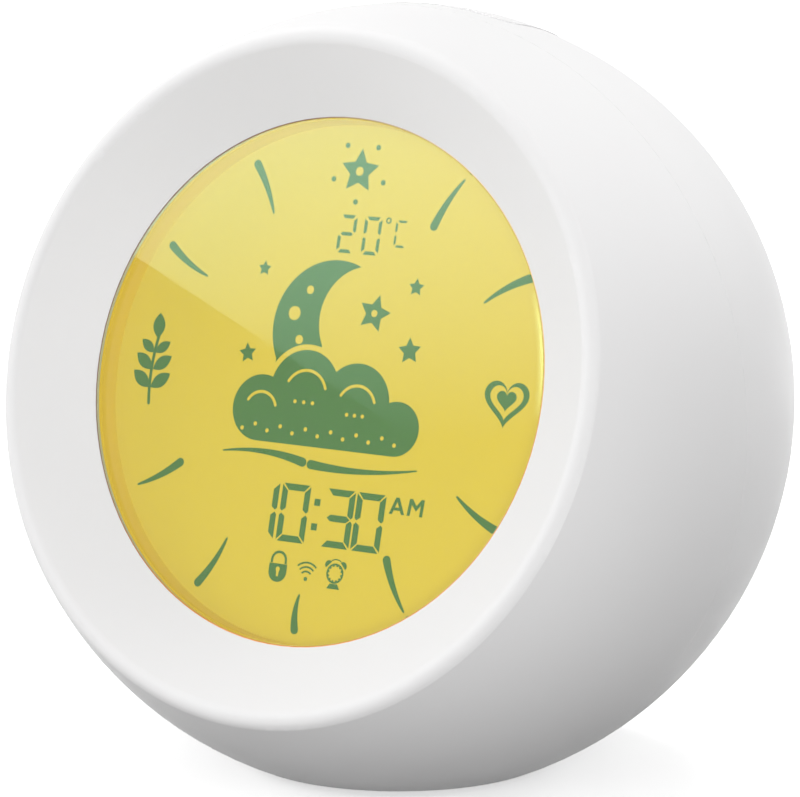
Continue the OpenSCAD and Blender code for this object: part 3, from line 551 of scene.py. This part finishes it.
def leaf(cx, cy, length, width, degrees):
    """A pointed leaf that grows from (cx, cy)."""
    upper = curve_between((0, 0), (length, 0), width / 2, 12)
    lower = curve_between((length, 0), (0, 0), width / 2, 12)
    return turned(upper + lower[1:-1], degrees, cx, cy)


HEART_SIDES = 40


def heart(cx, cy, size):
    """A heart, size wide."""
    out = []
    for i in range(HEART_SIDES):
        t = 2 * math.pi * i / HEART_SIDES
        x = 16 * math.sin(t) ** 3
        y = 13 * math.cos(t) - 5 * math.cos(2 * t) - 2 * math.cos(3 * t) - math.cos(4 * t)
        out.append((cx + x * size / 32, cy + y * size / 32))
    return out


def crossing(gap, r, other_r):
    """Angle at a circle's centre between another circle's centre, gap away, and where the two cross."""
    return math.acos((gap ** 2 + r ** 2 - other_r ** 2) / (2 * gap * r))


def bumps(circles):
    """The upper outline of overlapping circles in a row, from left to right."""
    out = []
    start = 180.0
    for (x, y, r), (next_x, next_y, next_r) in zip(circles, circles[1:]):
        gap = math.hypot(next_x - x, next_y - y)
        towards = math.atan2(next_y - y, next_x - x)
        out += arc(x, y, r, start, math.degrees(towards + crossing(gap, r, next_r)), 20)[:-1]
        start = math.degrees(towards + math.pi - crossing(gap, next_r, r))
    return out + arc(*circles[-1], start, 0.0, 20)


def crescent(middle, r, bite, bite_r):
    """A disc with a round bite taken out of it."""
    gap = math.hypot(bite[0] - middle[0], bite[1] - middle[1])
    towards = math.degrees(math.atan2(bite[1] - middle[1], bite[0] - middle[0]))
    outer = math.degrees(crossing(gap, r, bite_r))
    inner = math.degrees(crossing(gap, bite_r, r))
    back = arc(*middle, r, towards + outer, towards + 360 - outer, 72)
    return back + arc(*bite, bite_r, towards + 180 + inner, towards + 180 - inner, 48)[1:-1]


# The segments of each figure, where a is the top, b to f follow clockwise and g is the middle
SEGMENTS = {"0": "abcdef", "1": "bc", "2": "abged", "3": "abgcd", "C": "aefd"}
SEGMENT_NOTCH = 0.35


def figure(char, x, y, w, h, t, gap):
    """Outlines of one figure's segments, t thick, with the figure's lower left corner at (x, y)."""
    half, g, notch = h / 2, gap / 2, t * SEGMENT_NOTCH
    flat = [(g * 1.5, h), (w - g * 1.5, h), (w - t - g, h - t), (t + g, h - t)]
    side = [(0, h - g * 1.5), (t, h - t - g), (t, half + t / 2 + g), (notch, half + g),
            (0, half + notch + g)]
    bar = [(notch + g, half), (t + g, half + t / 2), (w - t - g, half + t / 2), (w - notch - g, half),
           (w - t - g, half - t / 2), (t + g, half - t / 2)]
    parts = {
        "a": flat, "g": bar, "d": [(px, h - py) for px, py in flat],
        "f": side, "e": [(px, h - py) for px, py in side],
        "b": [(w - px, py) for px, py in side], "c": [(w - px, h - py) for px, py in side],
    }
    return [[[(x + px, y + py) for px, py in parts[name]]] for name in SEGMENTS[char]]


# ---------------------------------------------------------------- meshes

def finished_piece(name, bm, finishes, body):
    """A piece made from a bmesh, which rides on a body and takes its finish from a slot."""
    bmesh.ops.recalc_face_normals(bm, faces=bm.faces)
    mesh = bpy.data.meshes.new(name)
    bm.to_mesh(mesh)
    bm.free()
    for key in finishes:
        mesh.materials.append(FINISHES[key])
    piece = bpy.data.objects.new(name, mesh)
    bpy.context.scene.collection.objects.link(piece)
    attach(piece, body)
    return piece


def prisms(name, shapes, low, high, place, finish, body):
    """Closed flat solids, each from an outline and its holes in mm, between two heights in metres."""
    bm = bmesh.new()
    for loops in shapes:
        corners = []
        for z in (low, high):
            corners.append([[bm.verts.new(place(x * MM, y * MM, z)) for x, y in loop] for loop in loops])
        flat = [[Vector((x, y, 0)) for x, y in loop] for loop in loops]
        triangles = tessellate_polygon(flat)
        for level in corners:
            verts = [v for loop in level for v in loop]
            for tri in triangles:
                bm.faces.new([verts[i] for i in tri])
        for lower, upper in zip(*corners):
            count = len(lower)
            for i in range(count):
                j = (i + 1) % count
                bm.faces.new((lower[i], lower[j], upper[j], upper[i]))
    finished_piece(name, bm, [finish], body)


def print_on_display(name, shapes):
    """Print on the display's glass. Each shape is an outline followed by its holes."""
    low, high = GLASS_FRONT, GLASS_FRONT + PRINT_T
    prisms(name, shapes, low, high, face_point, "display_print", "clock")


def revolved(name, profile, finishes, edge_rows=(), closed=False):
    """A solid turned about the face's axis, from a profile of radii and heights.

    The profile runs from the axis round to the axis, or it is closed and makes a ring. The faces after the
    points in edge_rows take the second finish.
    """
    bm = bmesh.new()
    turns = [2 * math.pi * i / LENS_SIDES for i in range(LENS_SIDES)]
    rows = []
    for r, z in profile:
        spots = [(r * math.cos(a), r * math.sin(a)) for a in turns] if r else [(0, 0)]
        rows.append([bm.verts.new(face_point(x, v, z)) for x, v in spots])
    following = rows[1:] + rows[:1] if closed else rows[1:]
    for k, (a, b) in enumerate(zip(rows, following)):
        for i in range(LENS_SIDES):
            j = (i + 1) % LENS_SIDES
            quad = [a[i % len(a)], a[j % len(a)], b[j % len(b)], b[i % len(b)]]
            face = bm.faces.new(list(dict.fromkeys(quad)))
            face.smooth = True
            face.material_index = 1 if k in edge_rows else 0
    piece = finished_piece(name, bm, finishes, "clock")
    piece.data.set_sharp_from_angle(angle=SHARP_ANGLE)
    return piece


def make_lens():
    """Clear lens whose edges take a painted glow, in the colour of the light that runs in it."""
    cut = 0.3 * LENS_EDGE_ROUND
    profile = [
        (0, LENS_FRONT), (LENS_R - LENS_EDGE_ROUND, LENS_FRONT), (LENS_R - cut, LENS_FRONT - cut),
        (LENS_R, LENS_FRONT - LENS_EDGE_ROUND), (LENS_R, LENS_STEP), (FLANGE_R, LENS_STEP),
        (FLANGE_R, LENS_BACK), (0, LENS_BACK),
    ]
    sides = (2, 3, 4, 5)
    lens = revolved("clear_window", profile, ["clear_lens", "lens_edge_glow"], edge_rows=sides)
    lens.visible_shadow = False
    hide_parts("lens")


def make_painted_edge_light():
    """The hairline of painted light and painted shade in the gap between the lens and the housing."""
    top = LENS_FRONT - LINE_SUNK
    profile = [(LINE_R, LENS_STEP), (OPENING_R, LENS_STEP), (OPENING_R, top), (LINE_R, top)]
    revolved("lens_painted_edge_light", profile, ["painted_edge_light"], closed=True)


# ---------------------------------------------------------------- small prints round the dial

# Hour marks: the hours, and the radii and widths in mm. At six the mark starts further out, below the signs
TICK_HOURS = [1, 2, 4, 5, 6, 7, 8, 10, 11]
TICK_IN = 30.9
TICK_OUT = 39.8
TICK_IN_SIX = 34.2
TICK_THICK = 1.45
TICK_THIN = 0.35
TICK_SWELL = 0.8
TICK_BENDS = (-0.35, 0.4)
TICK_STEPS = 8


def dial_ticks():
    """Brushed hour marks, thick at one end, on the hours that hold no small picture."""
    swell = [(i / TICK_STEPS) ** TICK_SWELL for i in range(TICK_STEPS + 1)]
    widths = [TICK_THIN + (TICK_THICK - TICK_THIN) * share for share in swell]
    shapes = []
    for n, hour in enumerate(TICK_HOURS):
        a = math.radians(90 - 30 * hour)
        start = TICK_IN_SIX if hour == 6 else TICK_IN
        near, far = ([r * math.cos(a), r * math.sin(a)] for r in (start, TICK_OUT))
        if n % 3 == 0:
            near, far = far, near
        shapes.append([stroke(curve_between(near, far, TICK_BENDS[n % 2], TICK_STEPS), widths)])
    print_on_display("dial_ticks", shapes)


def dial_star():
    """A star at twelve, with dots round it."""
    y = 34.6
    dots = [[disc(*turned([(5.0, 0)], 72 * i + 54, 0, y)[0], 0.45, 16)] for i in range(5)]
    print_on_display("dial_star", [[star(0, y, 3.7), disc(0, y, 0.75, 16)], *dots])


def dial_heart():
    """A heart at three, with a small one inside."""
    x = 33.2
    print_on_display("dial_heart", [[heart(x, 0.4, 8.2), heart(x, 0.5, 6.1)], [heart(x, 0.6, 3.6)]])


def dial_sprig():
    """A sprig at nine, with leaves in pairs and one at its tip."""
    stem = curve_between((-34.8, -6.4), (-34.6, 5.0), 0.5, 8)
    leaves = [leaf(-34.8, 4.4, 4.2, 2.4, 92)]
    for y, size in ((-3.8, 4.4), (-0.8, 4.2), (2.0, 3.4)):
        leaves += [leaf(-34.9, y, size, size * 0.5, 36), leaf(-35.1, y, size, size * 0.5, 144)]
    print_on_display("dial_sprig", [[even_stroke(stem, 0.55)], *[[shape] for shape in leaves]])


# ---------------------------------------------------------------- the large picture

# The bumps of the cloud, its curls and the moon's craters, as circles with x, y and radius
CLOUD = [(-12.6, -5.0, 5.4), (-4.6, -1.5, 6.6), (5.4, -2.6, 6.4), (13.6, -6.0, 4.4)]
CURLS = [(-12.6, -5.4, 3.0), (-4.4, -2.2, 4.0), (5.6, -3.4, 3.6)]
CRATERS = [(-8.6, 10.8, 1.15), (-7.0, 6.6, 0.75), (-6.2, 14.8, 0.7)]
CURL_LINE = 0.5

# The clear space between cloud and moon, and a height below everything
CLOUD_CLEAR = 0.9
NOWHERE = -99.0

# The moon, and the disc that is bitten out of it
MOON = (-1.2, 8.8)
MOON_R = 11.2
BITE = (5.2, 10.6)
BITE_R = 8.9

# Stars as x, y, radius and turn. The first has a hole
NIGHT_STARS = [(6.6, 12.0, 3.1, 78), (14.2, 6.6, 2.2, 96), (13.8, 16.8, 1.5, 90), (-16.6, 3.6, 1.7, 100),
               (-15.6, 17.6, 1.3, 90)]
STAR_HOLE_R = 0.6


def cloud_outline():
    """The cloud's bumps, closed below by a flat bottom that is rounded at both ends."""
    return arc(*CLOUD[0], 270, 180, 12)[:-1] + bumps(CLOUD) + arc(*CLOUD[-1], 0, -90, 12)[1:]


def cloud_reach(x):
    """How high the cloud and the clear space round it reach at x, or NOWHERE beside them."""
    grown = [(x - cx, cy, r + CLOUD_CLEAR) for cx, cy, r in CLOUD]
    tops = [cy + math.sqrt(r ** 2 - off ** 2) for off, cy, r in grown if abs(off) < r]
    return max(tops, default=NOWHERE)


def above_cloud(points):
    """The part of the outline that shows above the cloud, closed along the clear space's edge."""
    seen = [y > cloud_reach(x) for x, y in points]
    start = next(i for i in range(len(points)) if seen[i] and not seen[i - 1])
    shown = []
    while seen[start % len(points)]:
        shown.append(points[start % len(points)])
        start += 1
    first, last = shown[-1][0], shown[0][0]
    return shown + [(x, cloud_reach(x)) for x in taper(first, last, 25)]


def night_cloud():
    """A cloud with curls and rows of drops left clear in it."""
    curls = [even_stroke(arc(*circle, 20, 150, 12), CURL_LINE) for circle in CURLS]
    drops = [disc(-15.6 + 2.45 * i, -8.6 + (0.9 if i % 2 else 0), 0.36, 12) for i in range(13)]
    drops += [disc(-4.4 + 1.7 * i, -3.4, 0.34, 12) for i in (-1, 0, 1)]
    drops += [disc(5.6 + 1.5 * i, -4.6, 0.34, 12) for i in (-1, 0, 1)]
    print_on_display("night_cloud", [[cloud_outline(), *curls, *drops]])


def night_moon():
    """A crescent moon that stands behind the cloud."""
    craters = [disc(*circle) for circle in CRATERS]
    print_on_display("night_moon", [[above_cloud(crescent(MOON, MOON_R, BITE, BITE_R)), *craters]])


def night_stars():
    stars = [[star(*spot)] for spot in NIGHT_STARS]
    stars[0].append(disc(*NIGHT_STARS[0][:2], STAR_HOLE_R, 12))
    print_on_display("night_stars", stars)


def night_breeze():
    """Two brushed lines below the cloud that meet in the middle."""
    left = stroke(curve_between((-18.6, -12.6), (-3.0, -13.0), 0.8, 12), taper(0.25, 1.5, 13))
    right = stroke(curve_between((-1.4, -13.2), (18.6, -12.2), -0.7, 12), taper(1.5, 0.25, 13))
    print_on_display("night_breeze", [[left], [right]])


# ---------------------------------------------------------------- figures and signs

# The time's figures in mm: height, width and thickness, the gaps between segments and the lower edge
FIGURE_H = 9.4
FIGURE_W = 5.45
FIGURE_T = 1.08
FIGURE_GAP = 0.3
FIGURE_Y = -26.0
COLON_LEFT = 0.38
COLON_RIGHT = 1.5
COLON_HALF = 0.56

# The temperature's figures
WARMTH_H = 6.2
WARMTH_W = 3.3
WARMTH_T = 0.58
WARMTH_Y = 21.25


def time_figures():
    """Half past ten in seven-segment figures, with its colon."""
    shapes = []
    for char, x in (("1", -6.62 - FIGURE_W), ("0", -6.05), ("3", 2.55), ("0", 8.35)):
        shapes += figure(char, x, FIGURE_Y, FIGURE_W, FIGURE_H, FIGURE_T, FIGURE_GAP)
    for y in (-19.1, -23.05):
        low, high = y - COLON_HALF, y + COLON_HALF
        shapes.append([[(COLON_LEFT, low), (COLON_RIGHT, low), (COLON_RIGHT, high), (COLON_LEFT, high)]])
    print_on_display("time_figures", shapes)


def day_half():
    """The letters that say the time is before noon."""
    letter_a = [(14.62, -19.42), (15.64, -16.7), (16.26, -16.7), (17.5, -19.36), (16.9, -19.36),
                (16.62, -18.76), (15.46, -18.78), (15.2, -19.42)]
    inside_a = [(15.64, -18.3), (15.95, -17.4), (16.4, -18.28)]
    letter_m = [(17.96, -19.36), (18.2, -16.66), (18.74, -16.62), (19.57, -17.68), (20.42, -16.58),
                (20.96, -16.62), (20.86, -19.36), (20.3, -19.36), (20.36, -17.56), (19.57, -18.54),
                (18.68, -17.56), (18.52, -19.36)]
    print_on_display("day_half", [[letter_a, inside_a], [letter_m]])


def warmth_figures():
    """Twenty degrees, in smaller figures."""
    shapes = []
    for char, x in (("2", -2.42), ("0", 2.36)):
        shapes += figure(char, x, WARMTH_Y, WARMTH_W, WARMTH_H, WARMTH_T, 0.55)
    shapes += figure("C", 8.32, 22.85, 2.45, 4.4, 0.38, 0.5)
    shapes.append([disc(6.85, 27.05, 0.52, 24), disc(6.85, 27.05, 0.27, 24)])
    print_on_display("warmth_figures", shapes)


def sign_lock():
    """A padlock with its keyhole."""
    x, y = -4.8, -30.2
    body = arc(x, y - 0.7, 1.72, 180, 360, 24) + [(x + 1.72, y + 0.55), (x - 1.72, y + 0.55)]
    keyhole = arc(x, y - 0.35, 0.42, -50, 230, 14) + [(x - 0.2, y - 1.5), (x + 0.2, y - 1.5)]
    shackle = arc(x, y + 1.1, 1.55, 0, 180, 24) + [(x - 1.55, y + 0.62), (x - 1.13, y + 0.62)]
    shackle += arc(x, y + 1.1, 1.13, 180, 0, 24) + [(x + 1.13, y + 0.62), (x + 1.55, y + 0.62)]
    print_on_display("sign_lock", [[body, keyhole], [shackle]])


def sign_waves():
    """Three arcs over a dot, for a wireless link."""
    x, y = 0.72, -31.5
    waves = [[even_stroke(arc(x, y, r, 50, 130, 12), 0.3)] for r in (1.2, 1.92, 2.64)]
    print_on_display("sign_waves", [[disc(x, y, 0.34, 16)], *waves])


def sign_alarm():
    """An alarm clock with a toothed ring, two bells, a handle and a foot."""
    x, y = 6.15, -30.0
    bell = arc(0, 0, 0.72, 0, 180, 12)
    teeth = [1.32, 1.32, 1.08, 1.08] * 12
    dial = [(x + r * px, y + r * py) for r, (px, py) in zip(teeth, disc(0, 0, 1.0, 48))]
    foot = [(x - 1.25, y - 2.5), (x + 1.25, y - 2.5), (x + 0.7, y - 1.66), (x - 0.7, y - 1.66)]
    handle = even_stroke(arc(x, y + 0.7, 1.55, 58, 122, 12), 0.2)
    bells = [[turned(bell, -46 * side, x + 1.34 * side, y + 1.3)] for side in (1, -1)]
    print_on_display("sign_alarm", [[disc(x, y, 1.62, 48), dial], [foot], [handle], *bells])


# ---------------------------------------------------------------- marks on the rear keys

def key_face(node):
    """A placing function for a mark on the face of one round key at the rear."""
    low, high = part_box(node)
    middle = (low + high) / 2

    def place(x, y, d):
        return Vector((middle.x - x, high.y + d, middle.z + y))

    return place


def key_marks():
    """Bell, minus, plus and light: a small raised mark on each rear key."""
    bell = arc(0, 0.2, 1.05, 0, 180, 16) + [(-1.1, -0.6), (-1.5, -0.95), (1.5, -0.95), (1.1, -0.6)]
    clapper = arc(0, -1.15, 0.42, 180, 360, 10)
    rays = [[turned(even_stroke([(1.15, 0), (1.75, 0)], 0.26), 45 * i)] for i in range(8)]
    long, thin = 1.3, 0.2
    minus = [(-long, -thin), (long, -thin), (long, thin), (-long, thin)]
    plus = [(-long, -thin), (-thin, -thin), (-thin, -long), (thin, -long), (thin, -thin), (long, -thin),
            (long, thin), (thin, thin), (thin, long), (-thin, long), (-thin, thin), (-long, thin)]
    marks = {
        "alarm_button": [[bell], [clapper]],
        "volume_down_button": [[minus]],
        "volume_up_button": [[plus]],
        "light_button": [[disc(0, 0, 0.7, 20)], *rays],
    }
    for node, shapes in marks.items():
        name = node.replace("button", "mark")
        prisms(name, shapes, -MARK_SUNK, MARK_PROUD, key_face(node), "key_mark", node)


# ---------------------------------------------------------------- floor and world

# The floor's own glow, as it is seen, grows from near the object to further off
FLOOR_R = 4.0
FLOOR_SIDES = 96
FLOOR_SEEN = 0.8
FLOOR_GLOW_NEAR = 0.55
FLOOR_GLOW_FAR = 1.0
FLOOR_NEAR = 150 * MM
FLOOR_FAR = 450 * MM
FLOOR_FOR_LIGHT = 0.12

# The world's light level, and how it changes with height
SKY_LEVEL = 0.53
SKY_SLOPE = -0.12


def bare_material(name):
    """A material whose nodes are still to be made."""
    material = bpy.data.materials.new(name)
    material.use_nodes = True
    material.node_tree.nodes.clear()
    return material


def seen_ray(tree):
    """1 where a thing is seen directly, mirrored or through glass, and 0 where it only gives light."""
    rays = add_node(tree, "ShaderNodeLightPath", {}).outputs
    seen = maths(tree, "ADD", rays["Is Camera Ray"], rays["Is Glossy Ray"], use_clamp=True)
    return maths(tree, "ADD", seen, rays["Is Transmission Ray"], use_clamp=True)


def make_floor():
    """White to the eye, with the object's shadow near it. As light, almost black."""
    bpy.ops.mesh.primitive_circle_add(vertices=FLOOR_SIDES, radius=FLOOR_R, fill_type="NGON")
    floor = bpy.context.object
    floor.name = "floor"
    material = bare_material("floor")
    tree = material.node_tree
    place = add_node(tree, "ShaderNodeTexCoord", {}).outputs["Object"]
    distance = add_node(tree, "ShaderNodeVectorMath", {0: place}, operation="LENGTH").outputs["Value"]
    level = span(tree, distance, FLOOR_NEAR, FLOOR_FAR, FLOOR_GLOW_NEAR, FLOOR_GLOW_FAR)
    glow = add_node(tree, "ShaderNodeEmission", {"Strength": level})
    pale = add_node(tree, "ShaderNodeBsdfDiffuse", {"Color": (FLOOR_SEEN, FLOOR_SEEN, FLOOR_SEEN, 1)})
    grey = (FLOOR_FOR_LIGHT, FLOOR_FOR_LIGHT, FLOOR_FOR_LIGHT, 1)
    dark = add_node(tree, "ShaderNodeBsdfDiffuse", {"Color": grey})
    seen = add_node(tree, "ShaderNodeAddShader", {0: pale.outputs[0], 1: glow.outputs[0]})
    ends = {0: seen_ray(tree), 1: dark.outputs[0], 2: seen.outputs[0]}
    both = add_node(tree, "ShaderNodeMixShader", ends)
    add_node(tree, "ShaderNodeOutputMaterial", {0: both.outputs[0]})
    floor.data.materials.append(material)


def make_world():
    """White to the eye. As light, a little brighter from below than from above."""
    world = bpy.data.worlds.new("studio")
    bpy.context.scene.world = world
    world.use_nodes = True
    tree = world.node_tree
    tree.nodes.clear()
    way = add_node(tree, "ShaderNodeTexCoord", {}).outputs["Generated"]
    height = add_node(tree, "ShaderNodeSeparateXYZ", {0: way}).outputs["Z"]
    sky = maths(tree, "MULTIPLY_ADD", height, SKY_SLOPE, SKY_LEVEL)
    level = add_node(tree, "ShaderNodeMix", {0: seen_ray(tree), 2: sky, 3: 1.0}).outputs[0]
    shade = add_node(tree, "ShaderNodeBackground", {"Color": (1, 1, 1, 1), "Strength": level})
    add_node(tree, "ShaderNodeOutputWorld", {0: shade.outputs[0]})


# ---------------------------------------------------------------- lights and reflections

# Area lights: name, direction from the body's centre and power
LIGHT_DISTANCE = 1.2
LIGHT_SIZE = 0.5
LIGHTS = [
    ("front", (0.5, -0.86, 0.14), 8.1),
    ("side", (-0.95, -0.3, 0.3), 7.2),
    ("above", (0.0, 0.35, 0.94), 5.8),
    ("behind", (0.35, 0.9, 0.3), 4.2),
]

# Cards that only reflections see hang this far from the lens
CARD_DISTANCE = 0.6
CARD_UNSEEN_BY = ("camera", "diffuse", "transmission", "volume_scatter", "shadow")

# Where the lens shows the soft box, in pixels. Its straight lower edge runs through the points of GLARE_EDGE
GLARE_EDGE = ((135.0, 256.0), (384.0, 419.0))
GLARE_LEFT = 60.0
GLARE_RIGHT = 600.0
GLARE_TOP = 60.0

# The soft box glows from nothing at one height in the picture to full at another, and up to GLARE_MOST above
GLARE_NONE_Y = 440.0
GLARE_FULL_Y = 140.0
GLARE_MOST = 1.15
GLARE_STRENGTH = 4.15
GLARE_TINT_LEFT = (0.82, 1.35, 1.05)
GLARE_TINT_RIGHT = (0.66, 1.0, 1.0)
GLARE_STEPS = 32

# The strip light that the lens' right edge shows, which fades towards its ends and towards the middle
STRIP_FROM = math.radians(-3)
STRIP_TO = math.radians(25)
STRIP_WIDE = 1.4 * MM
STRIP_FADE_ENDS = 0.7
STRIP_FADE_IN = 1.4
STRIP_STRENGTH = 13.0
STRIP_TINT = (0.7, 1.0, 0.5)
STRIP_STEPS = 24
STRIP_ROWS = 6


def make_lights():
    for name, direction, power in LIGHTS:
        data = bpy.data.lights.new(name, "AREA")
        data.shape = "DISK"
        data.size = LIGHT_SIZE
        data.energy = power
        light = bpy.data.objects.new(name, data)
        way = Vector(direction).normalized()
        light.location = CENTRE + way * LIGHT_DISTANCE
        light.rotation_mode = "QUATERNION"
        light.rotation_quaternion = way.to_track_quat("Z", "Y")
        light.visible_glossy = False
        light.visible_transmission = False
        bpy.context.scene.collection.objects.link(light)


def lens_spot(px, py):
    """The point on the lens that a pixel shows."""
    across = (px - IMAGE_W / 2) / FOCAL_PIXELS
    down = (py - IMAGE_H / 2) / FOCAL_PIXELS
    ray = across * RIGHT - down * UP - BACK
    to_lens = (face_point(0, 0, LENS_FRONT) - CAMERA_POINT).dot(FACE_NORMAL)
    return CAMERA_POINT + ray * (to_lens / ray.dot(FACE_NORMAL))


def mirrored(spot):
    """The direction in which the lens mirrors the camera's view of a spot on it."""
    ray = (spot - CAMERA_POINT).normalized()
    return ray - 2 * ray.dot(FACE_NORMAL) * FACE_NORMAL


def card_light(name, strength):
    """Light in the colour that the card's own glow gives at each place, over a clear ground."""
    material = bare_material(name)
    tree = material.node_tree
    glow = add_node(tree, "ShaderNodeAttribute", {}, attribute_name="glow").outputs["Color"]
    light = add_node(tree, "ShaderNodeEmission", {"Strength": strength, "Color": glow})
    clear = add_node(tree, "ShaderNodeBsdfTransparent", {})
    both = add_node(tree, "ShaderNodeAddShader", {0: light.outputs[0], 1: clear.outputs[0]})
    add_node(tree, "ShaderNodeOutputMaterial", {0: both.outputs[0]})
    return material


def reflected_card(name, columns, glows, strength):
    """A card that only reflections see, at a grid of spots on the lens, each with its own glow."""
    start = (columns[0][0] + columns[-1][-1]) / 2
    way = mirrored(start)
    middle = start + CARD_DISTANCE * way
    bm = bmesh.new()
    glow = bm.verts.layers.float_vector.new("glow")
    grid = []
    for spots, levels in zip(columns, glows):
        column = []
        for spot, level in zip(spots, levels):
            ray = mirrored(spot)
            vert = bm.verts.new(spot + ray * ((middle - spot).dot(way) / ray.dot(way)))
            vert[glow] = level
            column.append(vert)
        grid.append(column)
    for a, b in zip(grid, grid[1:]):
        for j in range(len(a) - 1):
            bm.faces.new((a[j], b[j], b[j + 1], a[j + 1]))
    mesh = bpy.data.meshes.new(name)
    bm.to_mesh(mesh)
    bm.free()
    mesh.materials.append(card_light(name, strength))
    card = bpy.data.objects.new(name, mesh)
    bpy.context.scene.collection.objects.link(card)
    for ray_kind in CARD_UNSEEN_BY:
        setattr(card, f"visible_{ray_kind}", False)


def make_glare():
    """The soft box above, whose lower edge makes the straight line across the lens."""
    (ax, ay), (bx, by) = GLARE_EDGE
    columns, glows = [], []
    for i in range(GLARE_STEPS + 1):
        px = GLARE_LEFT + (GLARE_RIGHT - GLARE_LEFT) * i / GLARE_STEPS
        edge_y = ay + (by - ay) * (px - ax) / (bx - ax)
        rows = [edge_y + (GLARE_TOP - edge_y) * j / GLARE_STEPS for j in range(GLARE_STEPS + 1)]
        shares = [(GLARE_NONE_Y - py) / (GLARE_NONE_Y - GLARE_FULL_Y) for py in rows]
        tint = Vector(GLARE_TINT_LEFT).lerp(Vector(GLARE_TINT_RIGHT), i / GLARE_STEPS)
        columns.append([lens_spot(px, py) for py in rows])
        glows.append([min(max(share, 0.0), GLARE_MOST) * tint for share in shares])
    reflected_card("soft_box", columns, glows, GLARE_STRENGTH)


def make_strip():
    """The strip light at the side, seen as a bright sliver along the lens' right edge."""
    outward = [j / STRIP_ROWS for j in range(STRIP_ROWS + 1)]
    radii = [LENS_R - STRIP_WIDE * (1 - q) for q in outward]
    columns, glows = [], []
    for i in range(STRIP_STEPS + 1):
        share = i / STRIP_STEPS
        a = STRIP_FROM + (STRIP_TO - STRIP_FROM) * share
        length_fade = math.sin(math.pi * share) ** STRIP_FADE_ENDS
        columns.append([face_point(r * math.cos(a), r * math.sin(a), LENS_FRONT) for r in radii])
        glows.append([length_fade * q ** STRIP_FADE_IN * Vector(STRIP_TINT) for q in outward])
    reflected_card("strip_light", columns, glows, STRIP_STRENGTH)


make_camera()
dress_cad_nodes()
make_lens()
make_painted_edge_light()
dial_ticks()
dial_star()
dial_heart()
dial_sprig()
night_cloud()
night_moon()
night_stars()
night_breeze()
time_figures()
day_half()
warmth_figures()
sign_lock()
sign_waves()
sign_alarm()
key_marks()
make_floor()
make_world()
make_lights()
make_glare()
make_strip()

bpy.context.scene.view_settings.view_transform = "Standard"
